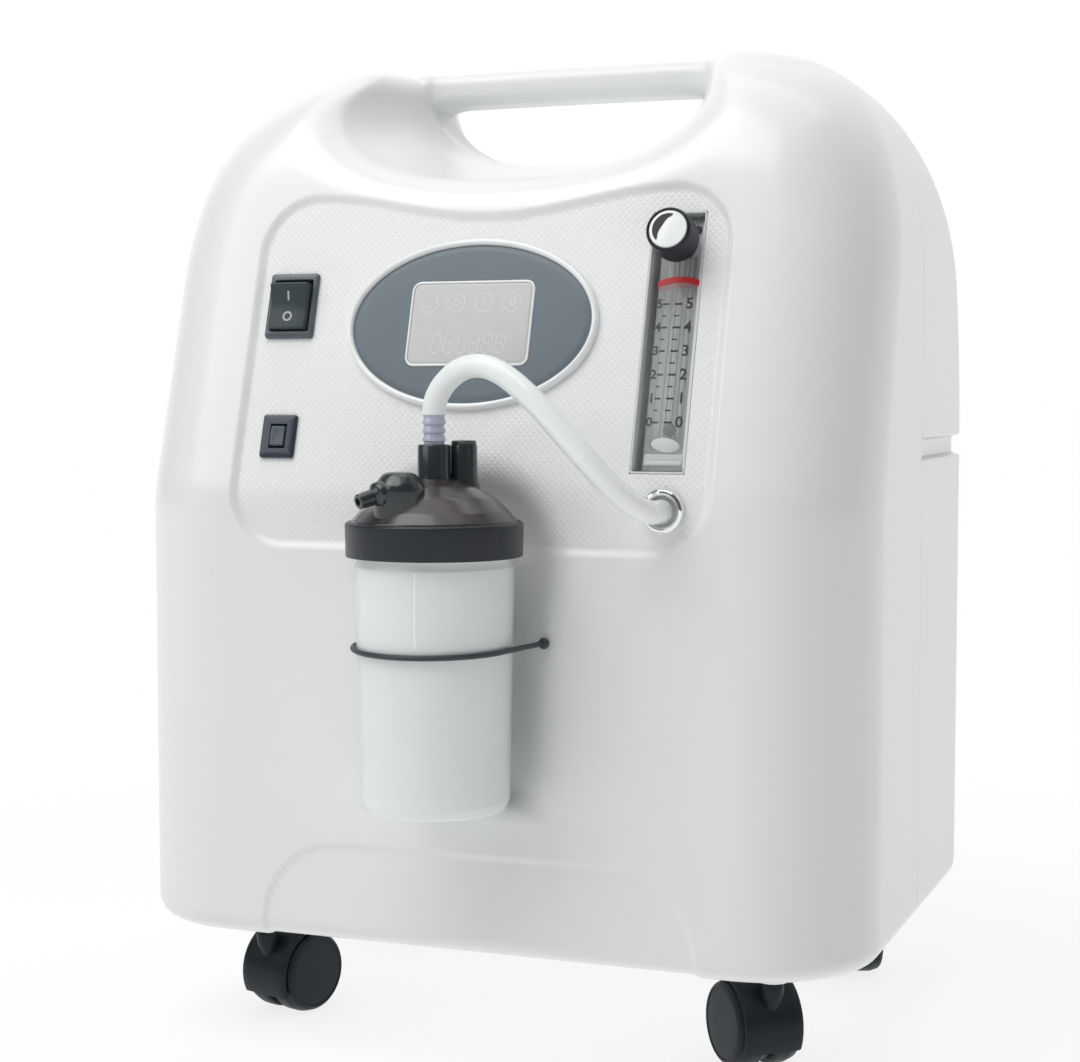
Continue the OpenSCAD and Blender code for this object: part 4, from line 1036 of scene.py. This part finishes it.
def make_strap():
    """Elastic strap: straight runs to the studs and an arc round the jar's front."""
    r = JAR_R + STRAP_D / 2 - 0.4
    start = math.atan2(-BOTTLE_Y, STUD_X) - math.acos(r / math.hypot(STUD_X, BOTTLE_Y))
    points = [(STUD_X - 0.5, -1.5 - BOTTLE_Y)]
    points += [(r * math.cos(a), r * math.sin(a)) for a in np.linspace(start, -math.pi - start, 41)]
    points += [(-STUD_X + 0.5, -1.5 - BOTTLE_Y)]
    places = [(x, y + BOTTLE_Y, STRAP_Z - max(0.0, -y / r)) for x, y in points]
    make_cord("strap_band", "POLY", STRAP_D, 5, places, STRAP, "bottle_strap")
    for side, name in ((-1, "strap_stud_left"), (1, "strap_stud_right")):
        stud = lathe([(0.05, -7), (1.9, -7), (1.9, 0), (2.2, 0.1), (2.5, 0.7), (2.4, 1.4), (1.9, 2.1),
                      (1.1, 2.5), (0.05, 2.6)], 40)
        make(name, [stud], front_frame(side * STUD_X, STRAP_Z), STRAP, ["strap_studs"])


# ---------- casters ----------

WHEEL_R, WHEEL_W, TRAIL, WEB, WEB_GAP = 20.0, 13.4, 18.0, 2.2, 0.4
CASTERS = {"fl": (-127, 57.5, -17), "fr": (127, 57.5, 42), "rl": (-127, 222.5, 30), "rr": (127, 222.5, 22)}


def caster_cover():
    """The arched cover over both wheels, in the axle's frame."""
    cover, thick = WHEEL_R + 2.2, 1.5
    half = WEB + WEB_GAP + WHEEL_W - 1.4
    edge = [(half, 1.7), (half - 0.5, 0.6), (half - 1.6, 0.0), (half - 5, 0.0)]
    stations = [(-u, drop) for u, drop in edge] + [(0, -0.15)] + edge[::-1]
    turns = np.radians(np.linspace(-26, 118, 44))
    rings = []
    for u, drop in stations:
        arcs = ((cover - drop, turns), (cover - thick, turns[::-1]))
        rings.append([(u, -r * math.cos(t), r * math.sin(t)) for r, arc in arcs for t in arc])
    return skin(rings)


def caster_stem():
    """The fairing that tapers back into the cover, and the steel stem's sleeve."""
    oval = [(5.2 * math.cos(a), 5.6 * math.sin(a)) for a in np.radians(np.arange(0, 360, 7.5))]
    fairing = skin([[(u * s, min(v * s + back, 5.2), z) for u, v in oval] for z, s, back in (
        (24, 0.5, 4.4), (30, 0.8, 1.9), (35, 0.95, 0.4), (38, 1.0, 0.0), (41.4, 1.0, 0.0), (42.3, 0.93, 0.0),
        (42.7, 0.8, 0.0))])
    post = lathe([(0.05, 34), (4, 34), (4, 68), (0.05, 68)], 40)
    return [moved(part, shift(0, -TRAIL, -WHEEL_R)) for part in (fairing, post)]


def make_caster(key):
    x, y, yaw = CASTERS[key]
    axle = shift(x, y) @ turn(yaw, "Z") @ shift(0, TRAIL, WHEEL_R)
    web = lathe([(0.05, -WEB), (WHEEL_R - 3.2, -WEB), (WHEEL_R - 2.5, -WEB + 0.6), (WHEEL_R - 2.5, WEB - 0.6),
                 (WHEEL_R - 3.2, WEB), (0.05, WEB)], 64)
    parts = [caster_cover(), moved(web, turn(90, "Y")), *caster_stem()]
    make(f"caster_{key}_cover", parts, axle, CASTER, [f"caster_{key}_hood"],
         body=f"caster_{key}", sharp=36)
    tread = lathe(fillet([
        (2.05, 0.3), (19.2, 0.0, 0.6), (WHEEL_R, 1.6, 1.2), (WHEEL_R, 7.8, 4), (18.6, WHEEL_W - 1.2, 3.0),
        (17.2, WHEEL_W - 0.1, 0.8), (16.6, WHEEL_W, 0.3), (16.3, WHEEL_W - 0.45, 0.15),
        (15.8, WHEEL_W - 0.45, 0.15), (15.4, WHEEL_W - 0.2, 0.4), (9.0, WHEEL_W - 0.05, 6), (0.05, WHEEL_W),
        (0.05, WHEEL_W - 0.9), (2.05, WHEEL_W - 0.9)], steps=5), 80, closed=True)
    for side, sign in (("l", -1), ("r", 1)):
        wheel = moved(tread, turn(90 * sign, "Y") @ shift(z=WEB + WEB_GAP))
        make(f"caster_{key}_roller_{side}", [wheel], axle, WHEEL,
             [f"caster_{key}_wheel_{side}"], body=f"wheel_{key}_{side}", sharp=30)


def make_collars():
    outline = fillet([(4.05, 43.2), (7.6, 43.0, 0.8), (9.0, 45.5, 1.5), (9.0, 55), (4.05, 55)])
    ring = lathe(outline, 64, closed=True)
    parts = [moved(ring, shift(x, y)) for x, y, _ in CASTERS.values()]
    make("stem_collars", parts, shift(), GLOSS_WHITE, ["caster_collars"])


# ---------- handle and rear face ----------

HANDLE_H, HANDLE_D, HANDLE_Y, HANDLE_END = 16.0, 26.0, 148.0, 79


def make_handle():
    """The carry bar; its underside and sides flare into the shoulders at both ends."""
    stations = (25, 50, 61, 65, 67.5, 70, 72, 74, 76, HANDLE_END)
    rings = []
    for x in (*(-x for x in reversed(stations)), 0, *stations):
        t = min(1.0, max(0.0, (abs(x) - 60) / 14))
        flare = 9.0 * (1 - math.sqrt(max(0.0, 1 - t ** 2)))
        w, h = HANDLE_D + flare * 0.7, HANDLE_H + flare
        crown = 0.3 * (1 - (x / HANDLE_END) ** 2)
        ring = rounded_outline(w, h, 6.5)(0)
        rings.append([(x, HANDLE_Y + u, BODY_TOP - h / 2 + v - 0.5 + crown) for u, v in ring])
    make("handle_bar", [skin(rings)], shift(), HANDLE_SHADED_WHITE, ["carry_handle"], sharp=50)


def make_intake():
    """The tilting intake door with its louvres and hinge pin, and the foam behind it."""
    w, h = DOOR_W, DOOR_H - 2
    rim = loft(rounded_outline(w, h, 3.0), [
        (0, -1), (0, 1.3), (0.3, 1.8), (0.8, 2.0), (10.5, 2.0), (11.2, 1.6), (11.4, -1)], closed=True)
    slat = fillet([(-1.9, -0.9, 0.3), (1.1, 1.7, 0.3), (1.9, 1.7, 0.3), (-1.0, -0.9, 0.3)], steps=2)
    rows = [-h / 2 + 12.2 + i * 5.05 for i in range(10)]
    slats = [skin([[(u, v + a, b) for a, b in slat] for u in (-w / 2 + 11, w / 2 - 11)]) for v in rows]
    pin = lathe([(0.05, -57.5), (1, -57.5), (1, -55), (2, -55), (2, 55), (1, 55), (1, 57.5),
                 (0.05, 57.5)], 32)
    pin = moved(pin, shift(0, h / 2 - 0.6, -1.5) @ turn(90, "Y"))
    middle = DOOR_Z + DOOR_H / 2
    make("intake_door_louvres", [rim, *slats, pin], rear_frame(0, middle + 1), DOOR,
         ["filter_door"], body="intake_door", sharp=30)
    pad = loft(rounded_outline(102, 64, 4), [(0.6, -14), (0, -13.2), (0, -4.8), (0.6, -4)])
    make("intake_foam", [pad], rear_frame(0, middle), FOAM, ["intake_filter"])


def make_inlet():
    shroud = loft(rounded_outline(34, 28, 4), [
        (2.2, -20), (2.2, -0.2), (0, -0.2), (0, 1.2), (0.4, 1.8), (1.0, 2.0), (4.1, 2.0), (4.6, 1.5),
        (4.9, 0.4), (5.2, -17)])
    make("inlet_shroud", [shroud], rear_frame(*INLET_AT), INLET, ["power_inlet"])


def finish_cad_nodes():
    """The pieces inside keep their CAD shape and get their own material."""
    looks = {
        ZINC: ("chassis_plate",), STEEL: ("shell_screws",), DIP: ("dip_tube",), BRASS: ("inlet_pins",),
        RUBBER: ("lid_gasket", "compressor_mounts"), ALLOY: ("compressor_body", "compressor_heads"),
        FAN: ("fan_frame", "fan_rotor"), BOARD: ("control_board",),
        COLUMN: ("sieve_columns", "product_tank", "valve_block")}
    looks = {name: mat for mat, names in looks.items() for name in names}
    looks.update({f"caster_{key}_axle": STEEL for key in CASTERS})
    for name, mat in looks.items():
        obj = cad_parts[name]
        obj.data.materials.clear()
        obj.data.materials.append(mat)


# ---------- build ----------

make_hose()
make_front_shell()
make_rear_shell()
make_display()
make_switch()
make_breaker()
make_flow_meter()
make_outlet()
make_jar()
make_lid()
make_bottle_fittings()
make_spout()
make_strap()
for caster in CASTERS:
    make_caster(caster)
make_collars()
make_handle()
make_intake()
make_inlet()
finish_cad_nodes()


# ---------- stage and light ----------


def world_light():
    """Soft white surroundings: bright behind the object, dim in front of it, and white as a backdrop."""
    world = bpy.data.worlds.new("studio")
    bpy.context.scene.world = world
    world.use_nodes = True
    tree = world.node_tree
    facing = feed(tree, "ShaderNodeTexCoord", out="Generated")
    depth = feed(tree, "ShaderNodeSeparateXYZ", facing, out="Y")
    seen = feed(tree, "ShaderNodeLightPath", out="Is Camera Ray")
    strength = math_node(tree, "MAXIMUM", smooth_range(tree, depth, 0.15, 0.7, 0.12, 1.02), seen)
    wire(tree.nodes["Background"], Color=(0.995, 1.0, 1.0, 1.0), Strength=strength)


def softbox(name, place, aim, size, power, colour=(1, 1, 1)):
    light = bpy.data.lights.new(name, "AREA")
    light.shape = "RECTANGLE"
    light.size, light.size_y = size
    light.energy, light.color = power, colour
    obj = bpy.data.objects.new(name, light)
    obj.location = place
    obj.rotation_euler = (Vector(aim) - Vector(place)).to_track_quat("-Z", "Y").to_euler()
    obj.visible_camera = False
    bpy.context.scene.collection.objects.link(obj)


def floor_material():
    """Pale floor that takes a faint shadow near the object and fades to plain white further out."""
    mat, tree, shader, place = new_material("floor_pale")
    tint = shades(tree, noise(tree, place, 6.0), (0.90, 0.91, 0.91), (0.92, 0.93, 0.93))
    wire(shader, Base_Color=tint, Roughness=0.85)
    away = feed(tree, "ShaderNodeVectorMath", place, operation="LENGTH", out="Value")
    glow = feed(tree, "ShaderNodeEmission", Color=(0.99, 0.995, 0.995, 1.0))
    both = feed(tree, "ShaderNodeMixShader", smooth_range(tree, away, 0.2, 0.75, 0.82, 1.0),
                shader.outputs[0], glow)
    wire(tree.nodes["Material Output"], Surface=both)
    return mat


def make_floor():
    bm = bmesh.new()
    bmesh.ops.create_grid(bm, x_segments=4, y_segments=4, size=60.0)
    mesh = bpy.data.meshes.new("floor")
    bm.to_mesh(mesh)
    bm.free()
    mesh.materials.append(floor_material())
    obj = bpy.data.objects.new("floor", mesh)
    bpy.context.scene.collection.objects.link(obj)


world_light()
softbox("key_left", (-1.7, -1.8, 2.1), (0, 0, 0.25), (2.2, 2.2), 29)
softbox("top_front", (-0.4, -1.1, 2.5), (0, 0, 0.3), (2.2, 1.4), 32)
softbox("overhead", (0.0, 0.2, 2.4), (0, 0, 0.2), (2.0, 1.6), 13)
make_floor()
bpy.context.scene.view_settings.view_transform = "Standard"
